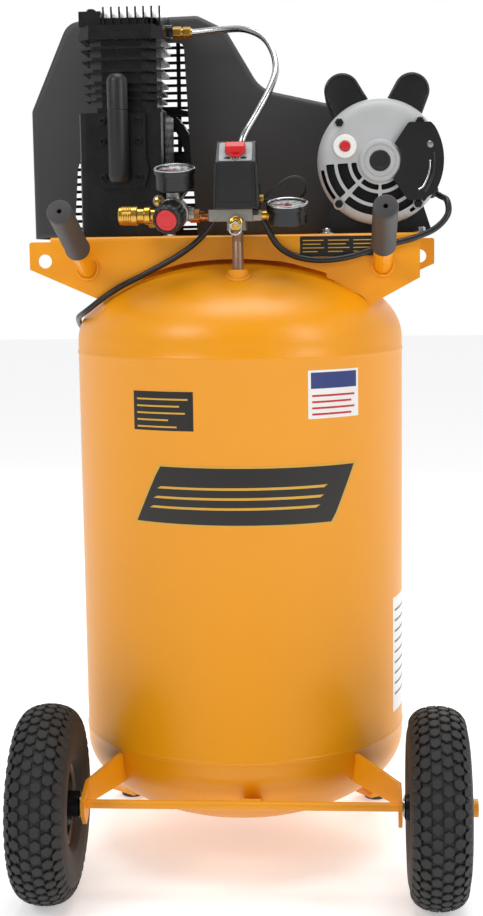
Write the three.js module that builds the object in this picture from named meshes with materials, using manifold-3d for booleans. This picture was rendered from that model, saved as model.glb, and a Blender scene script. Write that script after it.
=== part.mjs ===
// Portable belt-drive air compressor: a vertical tank on two pneumatic wheels and two rear feet,
// with a single-cylinder pump, an electric motor, a belt guard and the pressure controls on a deck
// above the tank. Millimetres, +Z up, handles and wheels at the front (-Y), pump on the left (-X).

import * as THREE from 'three';
import { mergeVertices } from 'three/addons/utils/BufferGeometryUtils.js';
import Module from 'manifold-3d';

const wasm = await Module();
wasm.setup();

// ---------------------------------------------------------------- driving dimensions

const GAP = 0.3; // left between pieces that touch
const RUN = 0.5; // left round a shaft, a pin or a sleeve that moves in its hole

const tank = { radius: 228.6, wall: 2.6, shellLength: 536, headFlange: 16, groundClearance: 47,
  beadHeight: 1.2, beadWidth: 7, sides: 36, headSteps: 6, innerSteps: 3 };
const drain = { bungRadius: 15, bungDrop: 4, bore: 6, bodyRadius: 9, bodyLength: 12,
  knobRadius: 12, knobHeight: 7, stemRadius: 3 };
const deck = { rise: 28.4, sheet: 4, length: 500, width: 194, ear: 29, rollRadius: 6,
  leftEdgeDrop: 43, rightEdgeDrop: 60, relief: 8, reliefHalf: 125,
  earHole: 9.5, earHoleInset: 21, earHoleDrop: 32, slopeStart: 184, slopeDrop: 85 };
const handle = { spread: 200, tubeRadius: 12.7, tubeWall: 2, length: 205, slope: 20, drop: 42,
  gripLength: 130, gripWall: 3, gripEnd: 4, ventRadius: 3 };
const wheel = { sides: 28, radius: 131, width: 78, rimRadius: 52, wallThickness: 8, hubLength: 86, hubRadius: 17,
  track: 510, ahead: 26.4, offset: 11.5 };
const axle = { radius: 6, stub: 9, capRadius: 12, lugWidth: 25, lugSheet: 4 };
const arm = { sheet: 5, washerSpace: 3, hubReach: 24, bendBack: 22, attachAngle: 39 };
const leg = { angle: 38, width: 46, sheet: 5, weldHeight: 60, foot: 34, padHeight: 9, padRadius: 17 };

const pump = { x: -154, caseWidth: 118, caseDepth: 120, caseHeight: 168, wall: 9, corner: 9,
  crankHeight: 114, throw: 19, rodLength: 103, bore: 32, cylinderHeight: 98, cylinderHalf: 46,
  finSheet: 3.5, finReach: 58, finChamfer: 18, plateHeight: 10, headHeight: 33, headHalf: 57,
  headFinSheet: 2.6, shaftRadius: 12, webRadius: 30, webSheet: 10, rodSheet: 12, pinRadius: 6,
  pinStub: 4, pistonHeight: 46, pistonCrown: 6, portHeight: 283, portY: 20, portProud: 7 };
const cover = { width: 66, height: 100, sheet: 9, x: 1, z: 66 };
const breather = { radius: 14, x: -1, bottom: 72, top: 218, standOff: 3 };
const flywheel = { radius: 84, width: 30, y: 102, rimDepth: 15, grooveDepth: 11, hubRadius: 22,
  spokes: 5, spokeWidth: 16 };
const belt = { width: 12, height: 8, sink: 1 };
const motor = { x: 197, height: 95, radius: 82, front: 58, back: 55, sheet: 3, statorHalf: 34,
  statorBore: 50, shaftRadius: 8, bellDepth: 34, bellWall: 4, bellLip: 2, hubRadius: 30, hubProud: 5,
  fanRadius: 62, coreHalf: 32 };
const capacitor = { tip: 24, foot: 60, leftReach: 107, rightReach: 103, leftTilt: 28, rightTilt: 24.6,
  overhang: 10, back: 24 };
const pulley = { radius: 34, width: 20, grooveDepth: 10 };
const guard = { left: -304, right: 256, sheet: 3, front: 66, depth: 84, top: 314, grilleSheet: 2,
  slotPitch: 24, slotHeight: 15, slotInset: 12, motorHole: 46 };
const control = { x: 9, y: -144, riserRadius: 7.35, riserSeat: 14, manifoldGap: 5, barHeight: 15,
  barDepth: 42, bossDrop: 12, switchWidth: 58, switchHeight: 88 };
const gauge = { radius: 26.5, height: 30, bezel: 1.2, dialDepth: 5, wall: 2.2, needle: 18 };
const coupler = { bodyRadius: 10, socket: 5.5, socketDepth: 20, length: 50, sleeveRadius: 13,
  sleeveLength: 24 };
const tubeLine = { radius: 4.75, nutRadius: 8, unloader: 2, lead: 4.25, cord: 4 };

// ---------------------------------------------------------------- places worked out from them

const headDepth = tank.radius / 2;
const lowDomeZ = tank.groundClearance + headDepth;
const seamLow = lowDomeZ + tank.headFlange;
const seamHigh = seamLow + tank.shellLength;
const topDomeZ = seamHigh + tank.headFlange;
const tankTop = topDomeZ + headDepth;
const deckTop = tankTop + deck.rise;
const deckHalf = deck.width / 2;
const axleY = -(tank.radius + wheel.ahead);
const axleZ = wheel.radius;
const crankZ = deckTop + pump.crankHeight;
const motorZ = deckTop + motor.height;
const beltY = flywheel.y + flywheel.width / 2;
const topDomeAt = (r) => topDomeZ + headDepth * Math.sqrt(1 - (r / tank.radius) ** 2);

// ---------------------------------------------------------------- materials

const paint = (color, roughness, metalness) => ({ color, roughness, metalness });
const YELLOW = paint(0xe79a00, 0.38, 0.0);
const BLACK_METAL = paint(0x161617, 0.42, 0.3);
const BLACK_PLASTIC = paint(0x2b2c2e, 0.55, 0.0);
const RUBBER = paint(0x1d1d1d, 0.85, 0.0);
const STEEL = paint(0xa9adb0, 0.3, 1.0);
const CAST_GREY = paint(0x9a9c9d, 0.5, 0.7);
const BRASS = paint(0xc79a3a, 0.28, 1.0);
const RED = paint(0xc4161c, 0.4, 0.0);

// ---------------------------------------------------------------- shape helpers

// A closed three.js geometry as a solid, with its faces turned outwards.
function solid(geometry) {
  const bare = geometry.clone();
  for (const name of Object.keys(bare.attributes)) {
    if (name !== 'position') bare.deleteAttribute(name);
  }
  const merged = mergeVertices(bare, 1e-4);
  const spots = merged.attributes.position.array;
  const index = merged.index.array;
  const corners = [];
  let volume = 0;
  for (let i = 0; i < index.length; i += 3) {
    const [a, b, c] = [index[i], index[i + 1], index[i + 2]];
    if (a === b || b === c || c === a) continue;
    const [p, q, r] = [a, b, c].map((k) => new THREE.Vector3().fromArray(spots, 3 * k));
    volume += p.dot(q.cross(r));
    corners.push([a, b, c]);
  }
  const turned = volume < 0 ? corners.map(([a, b, c]) => [a, c, b]) : corners;
  const mesh = new wasm.Mesh({ numProp: 3, vertProperties: Float32Array.from(spots),
    triVerts: Uint32Array.from(turned.flat()) });
  return new wasm.Manifold(mesh);
}

// Points of an outline with its corners rounded: each point is [x, y] or [x, y, radius].
function rounded(points, steps = 4) {
  const out = [];
  points.forEach(([x, y, radius = 0], i) => {
    const corner = new THREE.Vector2(x, y);
    if (radius === 0) {
      out.push(corner);
      return;
    }
    const before = points[(i + points.length - 1) % points.length];
    const after = points[(i + 1) % points.length];
    const back = new THREE.Vector2(before[0] - x, before[1] - y).normalize();
    const ahead = new THREE.Vector2(after[0] - x, after[1] - y).normalize();
    const halfAngle = Math.acos(THREE.MathUtils.clamp(back.dot(ahead), -1, 1)) / 2;
    const reach = radius / Math.tan(halfAngle);
    const start = corner.clone().addScaledVector(back, reach);
    const end = corner.clone().addScaledVector(ahead, reach);
    const curve = new THREE.QuadraticBezierCurve(start, corner, end);
    out.push(...curve.getPoints(steps));
  });
  return out;
}

// An outline drawn in by a distance on every side.
function inset(points, distance) {
  const area = THREE.ShapeUtils.area(points);
  const side = area > 0 ? 1 : -1;
  return points.map((point, i) => {
    const before = points[(i + points.length - 1) % points.length];
    const after = points[(i + 1) % points.length];
    const first = point.clone().sub(before).normalize();
    const second = after.clone().sub(point).normalize();
    const normal = new THREE.Vector2(-first.y - second.y, first.x + second.x).normalize();
    const shrink = Math.max(0.3, normal.dot(new THREE.Vector2(-first.y, first.x)));
    return point.clone().addScaledVector(normal, (side * distance) / shrink);
  });
}

function slab(points, thickness, holes = []) {
  const shape = new THREE.Shape(points);
  shape.holes = holes.map((hole) => new THREE.Path(hole));
  return new THREE.ExtrudeGeometry(shape, { depth: thickness, bevelEnabled: false });
}

// Slabs with their outline in the named plane, between two places on the third axis.
const slabXY = (points, low, high, holes) => solid(slab(points, high - low, holes).translate(0, 0, low));

const slabXZ = (points, low, high, holes) => solid(slab(points, high - low, holes)
  .rotateX(Math.PI / 2).translate(0, high, 0));

function slabYZ(points, low, high, holes) {
  const turn = new THREE.Matrix4().makeBasis(new THREE.Vector3(0, 1, 0), new THREE.Vector3(0, 0, 1),
    new THREE.Vector3(1, 0, 0));
  return solid(slab(points, high - low, holes).applyMatrix4(turn).translate(low, 0, 0));
}

function box(x0, x1, y0, y1, z0, z1) {
  const geometry = new THREE.BoxGeometry(x1 - x0, y1 - y0, z1 - z0);
  return solid(geometry.translate((x0 + x1) / 2, (y0 + y1) / 2, (z0 + z1) / 2));
}

const TURN = { z: (g) => g, x: (g) => g.rotateY(Math.PI / 2), y: (g) => g.rotateX(-Math.PI / 2) };

// A turned piece: a profile of [radius, place] round the named axis, closed on itself or on the axis.
function turned(profile, sides, axis = 'z') {
  const closed = profile[0][0] > 0 ? [...profile, profile[0]] : profile;
  const points = closed.map(([radius, place]) => new THREE.Vector2(radius, place));
  return solid(TURN[axis](new THREE.LatheGeometry(points, sides).rotateX(Math.PI / 2)));
}

const rod = (radius, low, high, sides = 16, axis = 'z') => turned(
  [[0, low], [radius, low], [radius, high], [0, high]], sides, axis);

const ring = (inner, outer, low, high, sides = 24, axis = 'z') => turned(
  [[inner, low], [outer, low], [outer, high], [inner, high]], sides, axis);

// The radius of a many-sided hole that a turning shaft clears all the way round.
const holeRound = (radius, clearance, sides) => (radius + clearance) / Math.cos(Math.PI / sides);

function arc(cx, cy, radius, from, to, steps) {
  const points = [];
  for (let i = 0; i <= steps; i += 1) {
    const angle = THREE.MathUtils.degToRad(from + ((to - from) * i) / steps);
    points.push(new THREE.Vector2(cx + radius * Math.cos(angle), cy + radius * Math.sin(angle)));
  }
  return points;
}

const disc = (cx, cy, radius, steps) => arc(cx, cy, radius, 0, 360 - 360 / steps, steps - 1);

// A round bar along a smooth curve through the points, which starts and ends straight.
function bar(points, radius, sides, steps) {
  const curve = new THREE.CatmullRomCurve3(points.map((p) => new THREE.Vector3(...p)), false, 'centripetal');
  const section = new THREE.Shape(disc(0, 0, radius, sides));
  return solid(new THREE.ExtrudeGeometry(section, { steps, extrudePath: curve, bevelEnabled: false }));
}

const join = (first, ...others) => others.reduce((sum, next) => sum.add(next), first);
const cut = (first, ...others) => others.reduce((rest, next) => rest.subtract(next), first);

function part(name, shape, { color, roughness, metalness }, place = [0, 0, 0]) {
  const { vertProperties, triVerts } = shape.getMesh();
  const geometry = new THREE.BufferGeometry();
  geometry.setAttribute('position', new THREE.Float32BufferAttribute(vertProperties, 3));
  geometry.setIndex(Array.from(triVerts));
  geometry.computeVertexNormals();
  const mesh = new THREE.Mesh(geometry, new THREE.MeshStandardMaterial({ color, roughness, metalness }));
  mesh.name = name;
  mesh.position.set(...place);
  return mesh;
}

function assembly(place, ...members) {
  const group = new THREE.Group();
  group.position.set(...place);
  group.add(...members);
  return group;
}

// ---------------------------------------------------------------- tank

const QUARTER = 90;

// One elliptical head as [radius, z] points, from the hole at its pole out to the rim.
function headCurve(radius, depth, rimZ, up, poleRadius, steps) {
  const start = (Math.asin(poleRadius / radius) * 180) / Math.PI;
  return arc(0, 0, 1, QUARTER - start, 0, steps).map(({ x, y }) => [radius * x, rimZ + up * depth * y]);
}

function bead(z) {
  const half = tank.beadWidth / 2;
  const proud = tank.radius + tank.beadHeight;
  return [[tank.radius, z - half], [proud, z - half / 2], [proud, z + half / 2], [tank.radius, z + half]];
}

function tankShell() {
  const inner = tank.radius - tank.wall;
  const innerDepth = headDepth - tank.wall;
  const pole = drain.bore;
  const outerLow = headCurve(tank.radius, headDepth, lowDomeZ, -1, pole, tank.headSteps);
  const outerHigh = headCurve(tank.radius, headDepth, topDomeZ, 1, 0, tank.headSteps).reverse();
  const innerHigh = headCurve(inner, innerDepth, topDomeZ, 1, 0, tank.innerSteps);
  const innerLow = headCurve(inner, innerDepth, lowDomeZ, -1, pole, tank.innerSteps).reverse();
  const wall = [...outerLow, ...bead(seamLow), ...bead(seamHigh), ...outerHigh];
  const shell = turned([[0, tankTop], ...[...wall].reverse().slice(1), ...innerLow.reverse(),
    ...innerHigh.reverse().slice(0, -1), [0, tankTop - tank.wall]], tank.sides);
  return shell;
}

const bungTop = topDomeAt(Math.hypot(control.x, control.y)) + 8;

function tankPiece() {
  const bungRadius = control.riserRadius + 6;
  const bung = rod(bungRadius, bungTop - 24, bungTop, 20).translate([control.x, control.y, 0]);
  const riserHole = rod(holeRound(control.riserRadius, GAP, 16), bungTop - 60, bungTop + 1, 16)
    .translate([control.x, control.y, 0]);
  const boss = rod(drain.bungRadius, tank.groundClearance - drain.bungDrop,
    tank.groundClearance + 6, 24);
  const outlet = rod(drain.bore, tank.groundClearance - 20, tank.groundClearance + 20, 16);
  return cut(join(tankShell(), bung, boss), riserHole, outlet);
}

// The space that the tank takes, with a gap all round, for cutting what is fitted to it.
function tankSpace(clearance) {
  const scale = tank.radius + clearance;
  const low = headCurve(scale, headDepth + clearance, lowDomeZ, -1, 0, tank.headSteps);
  const high = headCurve(scale, headDepth + clearance, topDomeZ, 1, 0, tank.headSteps).reverse();
  return turned([...low, ...high].map(([r, z]) => [r < 1e-6 ? 0 : r, z]), tank.sides);
}

const FIT = tank.beadHeight + GAP;

function drainValve() {
  const top = tank.groundClearance - drain.bungDrop - GAP;
  const bottom = top - drain.bodyLength;
  const body = cut(rod(drain.bodyRadius, bottom, top, 6),
    rod(drain.bore - 2, bottom - 1, top + 1, 12));
  const stem = rod(drain.stemRadius, bottom - 1, top - 2, 12);
  const knob = rod(drain.knobRadius, bottom - 1 - drain.knobHeight, bottom - 1, 16);
  return [part('drain_valve_body', body, BRASS), part('drain_valve_knob', join(knob, stem), BRASS)];
}

// ---------------------------------------------------------------- deck, handles

function flangeOutline() {
  const half = deck.length / 2;
  const top = deckTop - deck.rollRadius;
  const slopeEnd = deckTop - deck.slopeDrop;
  return [[-half - deck.ear, top, 4], [-half - deck.ear, deckTop - deck.leftEdgeDrop],
    [-deck.slopeStart, slopeEnd], [-deck.slopeStart + 20, slopeEnd - 20],
    [deck.slopeStart - 10, slopeEnd - 20], [deck.slopeStart + 10, slopeEnd - 5],
    [half, deckTop - deck.rightEdgeDrop], [half, top]];
}

function earHole(y0, y1) {
  const hole = rod(deck.earHole, y0 - 1, y1 + 1, 20, 'y');
  return hole.translate([-deck.length / 2 - deck.ear + deck.earHoleInset, 0, deckTop - deck.earHoleDrop]);
}

function platform() {
  const half = deck.length / 2;
  const roll = deck.rollRadius;
  const section = rounded([[-deckHalf, deckTop - roll - 1], [-deckHalf, deckTop, roll],
    [deckHalf, deckTop, roll], [deckHalf, deckTop - roll - 1], [deckHalf - deck.sheet, deckTop - roll - 1],
    [deckHalf - deck.sheet, deckTop - deck.sheet, 2], [-deckHalf + deck.sheet, deckTop - deck.sheet, 2],
    [-deckHalf + deck.sheet, deckTop - roll - 1]], 3);
  const top = slabYZ(section, -half, half);
  const flange = cut(slabXZ(rounded(flangeOutline()), -deckHalf, -deckHalf + deck.sheet),
    earHole(-deckHalf, -deckHalf + deck.sheet));
  const flanges = join(flange, flange.rotate([0, 0, 180]));
  const relief = tankSpace(deck.relief).intersect(
    box(-deck.reliefHalf, deck.reliefHalf, -deckHalf - 1, deckHalf + 1, 0, deckTop - deck.sheet));
  return cut(join(top, flanges), tankSpace(FIT), relief);
}

function handleSet() {
  const set = [];
  const buried = handle.tubeRadius * 2;
  const keepOut = box(-400, 400, -deckHalf - GAP, 400, 0, 2000);
  for (const [side, sign] of [['left', -1], ['right', 1]]) {
    const inner = handle.tubeRadius - handle.tubeWall;
    const tube = ring(inner, handle.tubeRadius, -buried, handle.length, 16);
    const gripInner = handle.tubeRadius + GAP;
    const gripOuter = gripInner + handle.gripWall;
    const end = handle.length + GAP;
    const start = end - handle.gripLength;
    const grip = turned([[handle.ventRadius, end], [gripInner, end], [gripInner, start],
      [gripOuter, start], [gripOuter, end + handle.gripEnd], [handle.ventRadius, end + handle.gripEnd]], 16);
    const aim = (shape) => shape.rotate([90 - handle.slope, 0, 0])
      .translate([sign * handle.spread, -deckHalf, deckTop - handle.drop]);
    set.push(part(`${side}_handle_tube`, cut(aim(tube), keepOut), YELLOW));
    set.push(part(`${side}_grip`, aim(grip), RUBBER));
  }
  return set;
}

// ---------------------------------------------------------------- wheels, axle, feet

function tyre() {
  const [r, half, t] = [wheel.radius, wheel.width / 2, wheel.wallThickness];
  const bead = wheel.rimRadius + GAP;
  const outer = [[bead, -half * 0.66], [r - 48, -half], [r - 24, -half * 0.97], [r - 7, -half * 0.7],
    [r, 0]];
  const mirror = (list) => list.slice(0, -1).reverse().map(([a, b]) => [a, -b]);
  const hollow = [[bead, -half * 0.66 + t], [r - 42, -half + t], [r - t - 2, 0]];
  const wall = [...outer, ...mirror(outer)];
  const inside = [...hollow, ...mirror(hollow)].reverse();
  return turned([...wall, ...inside], wheel.sides, 'x');
}

function rim() {
  const bore = holeRound(axle.radius, RUN, wheel.sides);
  const [hub, half, r] = [wheel.hubRadius, wheel.hubLength / 2, wheel.rimRadius];
  const seat = (wheel.width / 2) * 0.66 - 2;
  return turned([[bore, -half], [hub, -half], [hub, -4], [r - 8, -4], [r - 8, -seat], [r, -seat],
    [r, seat], [r - 8, seat], [r - 8, 0], [hub, 0], [hub, half], [bore, half]], wheel.sides, 'x');
}

const wheelX = (sign) => wheel.offset + (sign * wheel.track) / 2;
const armFace = (sign) => wheelX(sign) - sign * (wheel.hubLength / 2 + arm.washerSpace);

// A bent plate from the tank's lower knuckle to the inner side of one wheel.
function axleArm(sign) {
  const face = armFace(sign);
  const inner = face - sign * arm.sheet;
  const angle = THREE.MathUtils.degToRad(arm.attachAngle);
  const weld = [sign * tank.radius * Math.sin(angle), -tank.radius * Math.cos(angle)];
  const bendY = axleY + arm.bendBack;
  const plan = [[face, axleY - arm.hubReach], [face, bendY], [weld[0] + sign * 8, weld[1] + 34],
    [weld[0] - sign * arm.sheet * 0.4, weld[1] + 34], [inner, bendY], [inner, axleY - arm.hubReach]]
    .map(([x, y]) => new THREE.Vector2(x, y));
  const outline = rounded([[axleY - arm.hubReach, axleZ - 8, 6], [axleY - 8, axleZ - 26, 5],
    [axleY + 8, axleZ - 20, 4], [axleY + 20, axleZ - 7], [axleY + 70, axleZ - 2], [weld[1] + 36, axleZ + 5],
    [weld[1] + 36, axleZ + 44], [axleY + 70, axleZ + 36], [axleY + 10, axleZ + 22, 6],
    [axleY - arm.hubReach, axleZ + 12, 6]]);
  const low = Math.min(face, weld[0]) - 60;
  const plate = slabXY(plan, 0, axleZ + 100).intersect(slabYZ(outline, low, low + 220));
  return cut(plate, tankSpace(FIT));
}

// Cross rod with its two welded arms, the centre lug that steadies it on the tank and the end caps
// that keep the wheels on.
function axleFrame() {
  const ends = [-1, 1].map((sign) => wheelX(sign) + sign * (wheel.hubLength / 2 + axle.stub));
  const caps = [rod(axle.capRadius, ends[0], ends[0] + axle.stub - 1, 16, 'x'),
    rod(axle.capRadius, ends[1] - axle.stub + 1, ends[1], 16, 'x')];
  const shaft = join(rod(axle.radius, ends[0], ends[1], 20, 'x'), ...caps).translate([0, axleY, axleZ]);
  const centre = wheel.offset + axle.lugWidth / 2;
  const lug = rounded([[axleY - 4, axleZ + 2], [axleY + 6, axleZ + 7], [axleY + 130, axleZ - 58],
    [axleY + 130, axleZ - 58 - axle.lugSheet], [axleY + 6, axleZ + 2]]);
  const strap = cut(slabYZ(lug, centre - axle.lugWidth / 2, centre + axle.lugWidth / 2), tankSpace(FIT));
  return join(shaft, axleArm(-1), axleArm(1), strap);
}

function wheelSet() {
  const set = [];
  for (const [side, sign] of [['left', -1], ['right', 1]]) {
    const place = [wheelX(sign), axleY, axleZ];
    set.push(assembly(place, part(`${side}_tyre`, tyre(), RUBBER), part(`${side}_rim`, rim(), BLACK_METAL)));
  }
  return set;
}

function rearFeet() {
  const set = [];
  const wallX = tank.radius + FIT;
  const plateZ = leg.padHeight + GAP;
  for (const [side, turn] of [['left', 180 - leg.angle], ['right', leg.angle]]) {
    const outline = rounded([[wallX - 14, plateZ], [wallX + leg.foot, plateZ],
      [wallX + leg.foot, plateZ + leg.sheet], [wallX + leg.sheet, plateZ + leg.sheet, 4],
      [wallX + leg.sheet, seamLow + leg.weldHeight], [wallX, seamLow + leg.weldHeight],
      [wallX, plateZ + leg.sheet + 4], [wallX - 14, plateZ + leg.sheet]]);
    const plate = slabXZ(outline, -leg.width / 2, leg.width / 2);
    const pad = rod(leg.padRadius, 0, leg.padHeight, 20).translate([wallX + leg.foot / 2 - 4, 0, 0]);
    set.push(part(`${side}_rear_leg`, plate.rotate([0, 0, turn]), YELLOW));
    set.push(part(`${side}_rear_foot`, pad.rotate([0, 0, turn]), RUBBER));
  }
  return set;
}

// ---------------------------------------------------------------- pump

const square = (half, corner) => {
  const c = half - corner;
  return [[half, -c], [half, c], [c, half], [-c, half], [-half, c], [-half, -c], [-c, -half], [c, -half]]
    .map(([x, y]) => new THREE.Vector2(x, y));
};

function crankcase() {
  const [w, d, h, t] = [pump.caseWidth / 2, pump.caseDepth / 2, pump.caseHeight, pump.wall];
  const outline = rounded([[-w, -d, pump.corner], [w, -d, pump.corner], [w, d, pump.corner],
    [-w, d, pump.corner]]);
  const block = slabXY(outline, GAP, h);
  const hollow = box(-w + t, w - t, -d + t, d - t, t, h - t);
  const doorWall = box(cover.x - cover.width / 2 + 8, cover.x + cover.width / 2 - 8, -d - 1, -d + t + 1,
    cover.z + 10, cover.z + cover.height - 10);
  const boreSides = 32;
  const topHole = rod(holeRound(pump.bore, 1, boreSides), h - t - 1, h + 1, boreSides);
  const shaftHole = rod(holeRound(pump.shaftRadius, RUN, 20), d - t - 1, d + 1, 20, 'y')
    .translate([0, 0, pump.crankHeight]);
  return cut(block, hollow, doorWall, topHole, shaftHole);
}

function crankCover() {
  const half = cover.width / 2;
  const top = cover.z + cover.height;
  const outline = rounded([[-half, top], [half, top], [half, cover.z + 40], [half + 4, cover.z + 24],
    [half - 3, cover.z, 6], [-half + 3, cover.z, 6], [-half - 4, cover.z + 24], [-half, cover.z + 40]]);
  const front = -pump.caseDepth / 2 - GAP;
  return slabXZ(outline, front - cover.sheet, front).translate([cover.x, 0, 0]);
}

function breatherTube() {
  const y = -pump.caseDepth / 2 - GAP - cover.sheet - breather.standOff - breather.radius;
  const body = turned([[0, breather.bottom], [breather.radius * 0.7, breather.bottom + 3],
    [breather.radius, breather.bottom + 10], [breather.radius, breather.top - 6],
    [breather.radius * 0.75, breather.top], [0, breather.top]], 20).translate([breather.x, y, 0]);
  const nipple = rod(6, y, y + breather.radius + breather.standOff - GAP, 12, 'y')
    .translate([breather.x, 0, breather.bottom + 22]);
  return join(body, nipple);
}

function cylinder() {
  const base = pump.caseHeight + GAP;
  const top = base + pump.cylinderHeight - GAP;
  const barrel = slabXY(square(pump.cylinderHalf, pump.finChamfer), base, top);
  const upper = [0.13, 0.28, 0.44];
  const lower = [0.6, 0.71, 0.82];
  const fins = [...upper, ...lower].map((share, i) => {
    const z = top - share * pump.cylinderHeight;
    return slabXY(square(pump.finReach - i, pump.finChamfer), z, z + pump.finSheet);
  });
  const foot = slabXY(square(pump.cylinderHalf + 6, pump.finChamfer), base, base + 7);
  const sides = 32;
  return cut(join(barrel, foot, ...fins), rod(holeRound(pump.bore, 0, sides), base - 1, top + 1, sides));
}

const plateLow = pump.caseHeight + GAP + pump.cylinderHeight;
const headLow = plateLow + pump.plateHeight + GAP;

function valvePlate() {
  const plate = slabXY(square(pump.headHalf + 2, 16), plateLow, plateLow + pump.plateHeight);
  const ports = [-14, 14].map((x) => rod(6, plateLow - 1, headLow, 12).translate([x, 0, 0]));
  return cut(plate, ...ports);
}

function cylinderHead() {
  const [half, top] = [pump.headHalf, headLow + pump.headHeight];
  const core = slabXY(square(half, 14), headLow, headLow + 9);
  const middle = slabXY(square(half - 9, 10), headLow + 8, top - 14);
  const panel = box(-half, -half + 30, -half + 6, half - 6, headLow + 8, top - 5);
  const fins = [];
  for (let i = 0; i < 8; i += 1) {
    const x = -half + 33 + i * 11;
    const back = half - 4;
    fins.push(box(x, x + pump.headFinSheet, -back, back, headLow + 8, top));
  }
  const portBoss = rod(11, half - 14, half + pump.portProud, 12, 'x')
    .translate([0, pump.portY, pump.portHeight]).trimByPlane([0, 0, 1], headLow);
  const chamber = rod(30, headLow - 1, headLow + 12, 16);
  const bore = rod(5, 10, half + 8, 12, 'x').translate([0, pump.portY, pump.portHeight]);
  return cut(join(core, middle, panel, ...fins, portBoss), chamber, bore);
}

function crankshaft() {
  const webFace = pump.rodSheet / 2 + 5;
  const web = rod(pump.webRadius, webFace, webFace + pump.webSheet, 28, 'y');
  const shaft = rod(pump.shaftRadius, webFace + pump.webSheet - 1, flywheel.y + flywheel.width + 6, 20, 'y');
  const stub = rod(9, webFace - pump.pinStub, webFace + 1, 16, 'y').translate([0, 0, pump.throw]);
  return join(web, shaft, stub).translate([0, 0, pump.crankHeight]);
}

const wristZ = pump.crankHeight + pump.throw + pump.rodLength;

function connectingRod() {
  const half = pump.rodSheet / 2;
  const bigEnd = pump.crankHeight + pump.throw;
  const outline = [[-8, bigEnd], [8, bigEnd], [6, wristZ], [-6, wristZ]].map(([x, z]) => new THREE.Vector2(x, z));
  const beam = slabXZ(outline, -half + 2, half - 2);
  const big = rod(16, -half, half, 24, 'y').translate([0, 0, bigEnd]);
  const small = rod(11, -half, half, 20, 'y').translate([0, 0, wristZ]);
  const crankHole = rod(holeRound(9, RUN, 16), -half - 1, half + 1, 16, 'y').translate([0, 0, bigEnd]);
  const wristHole = rod(holeRound(pump.pinRadius, GAP, 16), -half - 1, half + 1, 16, 'y')
    .translate([0, 0, wristZ]);
  return cut(join(beam, big, small), crankHole, wristHole);
}

function piston() {
  const [r, top] = [pump.bore - RUN, wristZ + 28];
  const inner = r - 5;
  const shell = turned([[0, top], [r, top], [r, top - pump.pistonHeight], [inner, top - pump.pistonHeight],
    [inner, top - pump.pistonCrown], [0, top - pump.pistonCrown]], 32);
  const pin = rod(pump.pinRadius, -inner - 2, inner + 2, 16, 'y').translate([0, 0, wristZ]);
  return join(shell, pin);
}

function flywheelPiece() {
  const [r, low, high] = [flywheel.radius, flywheel.y, flywheel.y + flywheel.width];
  const mid = (low + high) / 2;
  const mouth = belt.width / 2 + 1.5;
  const floor = belt.width / 2 + GAP;
  const rimRing = turned([[r - flywheel.rimDepth, low], [r, low], [r, mid - mouth],
    [r - flywheel.grooveDepth, mid - floor], [r - flywheel.grooveDepth, mid + floor], [r, mid + mouth],
    [r, high], [r - flywheel.rimDepth, high]], 32, 'y');
  const hub = rod(flywheel.hubRadius, low, high, 20, 'y');
  let body = join(rimRing, hub);
  for (let i = 0; i < flywheel.spokes; i += 1) {
    const spoke = box(flywheel.hubRadius - 4, r - flywheel.rimDepth + 3, mid - 5, mid + 5,
      -flywheel.spokeWidth / 2, flywheel.spokeWidth / 2);
    body = join(body, spoke.rotate([0, (360 / flywheel.spokes) * i, 0]));
  }
  const bore = rod(holeRound(pump.shaftRadius, GAP, 20), low - 1, high + 1, 20, 'y');
  return cut(body, bore).translate([0, 0, pump.crankHeight]);
}

function pumpGroup() {
  return assembly([pump.x, 0, deckTop],
    part('crankcase', crankcase(), BLACK_METAL), part('crankcase_cover', crankCover(), BLACK_METAL),
    part('breather_tube', breatherTube(), BLACK_PLASTIC), part('cylinder', cylinder(), BLACK_METAL),
    part('valve_plate', valvePlate(), BLACK_METAL), part('cylinder_head', cylinderHead(), BLACK_METAL),
    part('crankshaft', crankshaft(), STEEL), part('connecting_rod', connectingRod(), CAST_GREY),
    part('piston', piston(), CAST_GREY), part('flywheel', flywheelPiece(), BLACK_METAL));
}

// ---------------------------------------------------------------- motor

function motorShell() {
  const [r, f, b, t] = [motor.radius, -motor.front, motor.back, motor.sheet];
  const hole = holeRound(motor.shaftRadius, RUN, 16);
  return turned([[hole, b - t], [hole, b + 4], [24, b + 4], [26, b], [r - 8, b], [r, b - 8], [r, f],
    [r - t, f], [r - t, -motor.statorHalf], [motor.statorBore, -motor.statorHalf],
    [motor.statorBore, motor.statorHalf], [r - t, motor.statorHalf], [r - t, b - 10], [r - 10, b - t]],
  28, 'y');
}

// Cooling slots in the lower half of the front bell: rows of curved openings between the spokes.
function bellVents(front) {
  const rows = [[28, 38], [44, 56], [62, 74]];
  const spans = [[183, 222], [228, 267], [273, 312]];
  const slots = [];
  for (const [inner, outer] of rows) {
    for (const [from, to] of spans) {
      const outline = [...arc(0, 0, outer, from, to, 2), ...arc(0, 0, inner, to, from, 2)];
      slots.push(slabXZ(outline, front - 2, front + 20));
    }
  }
  return slots;
}

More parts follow.
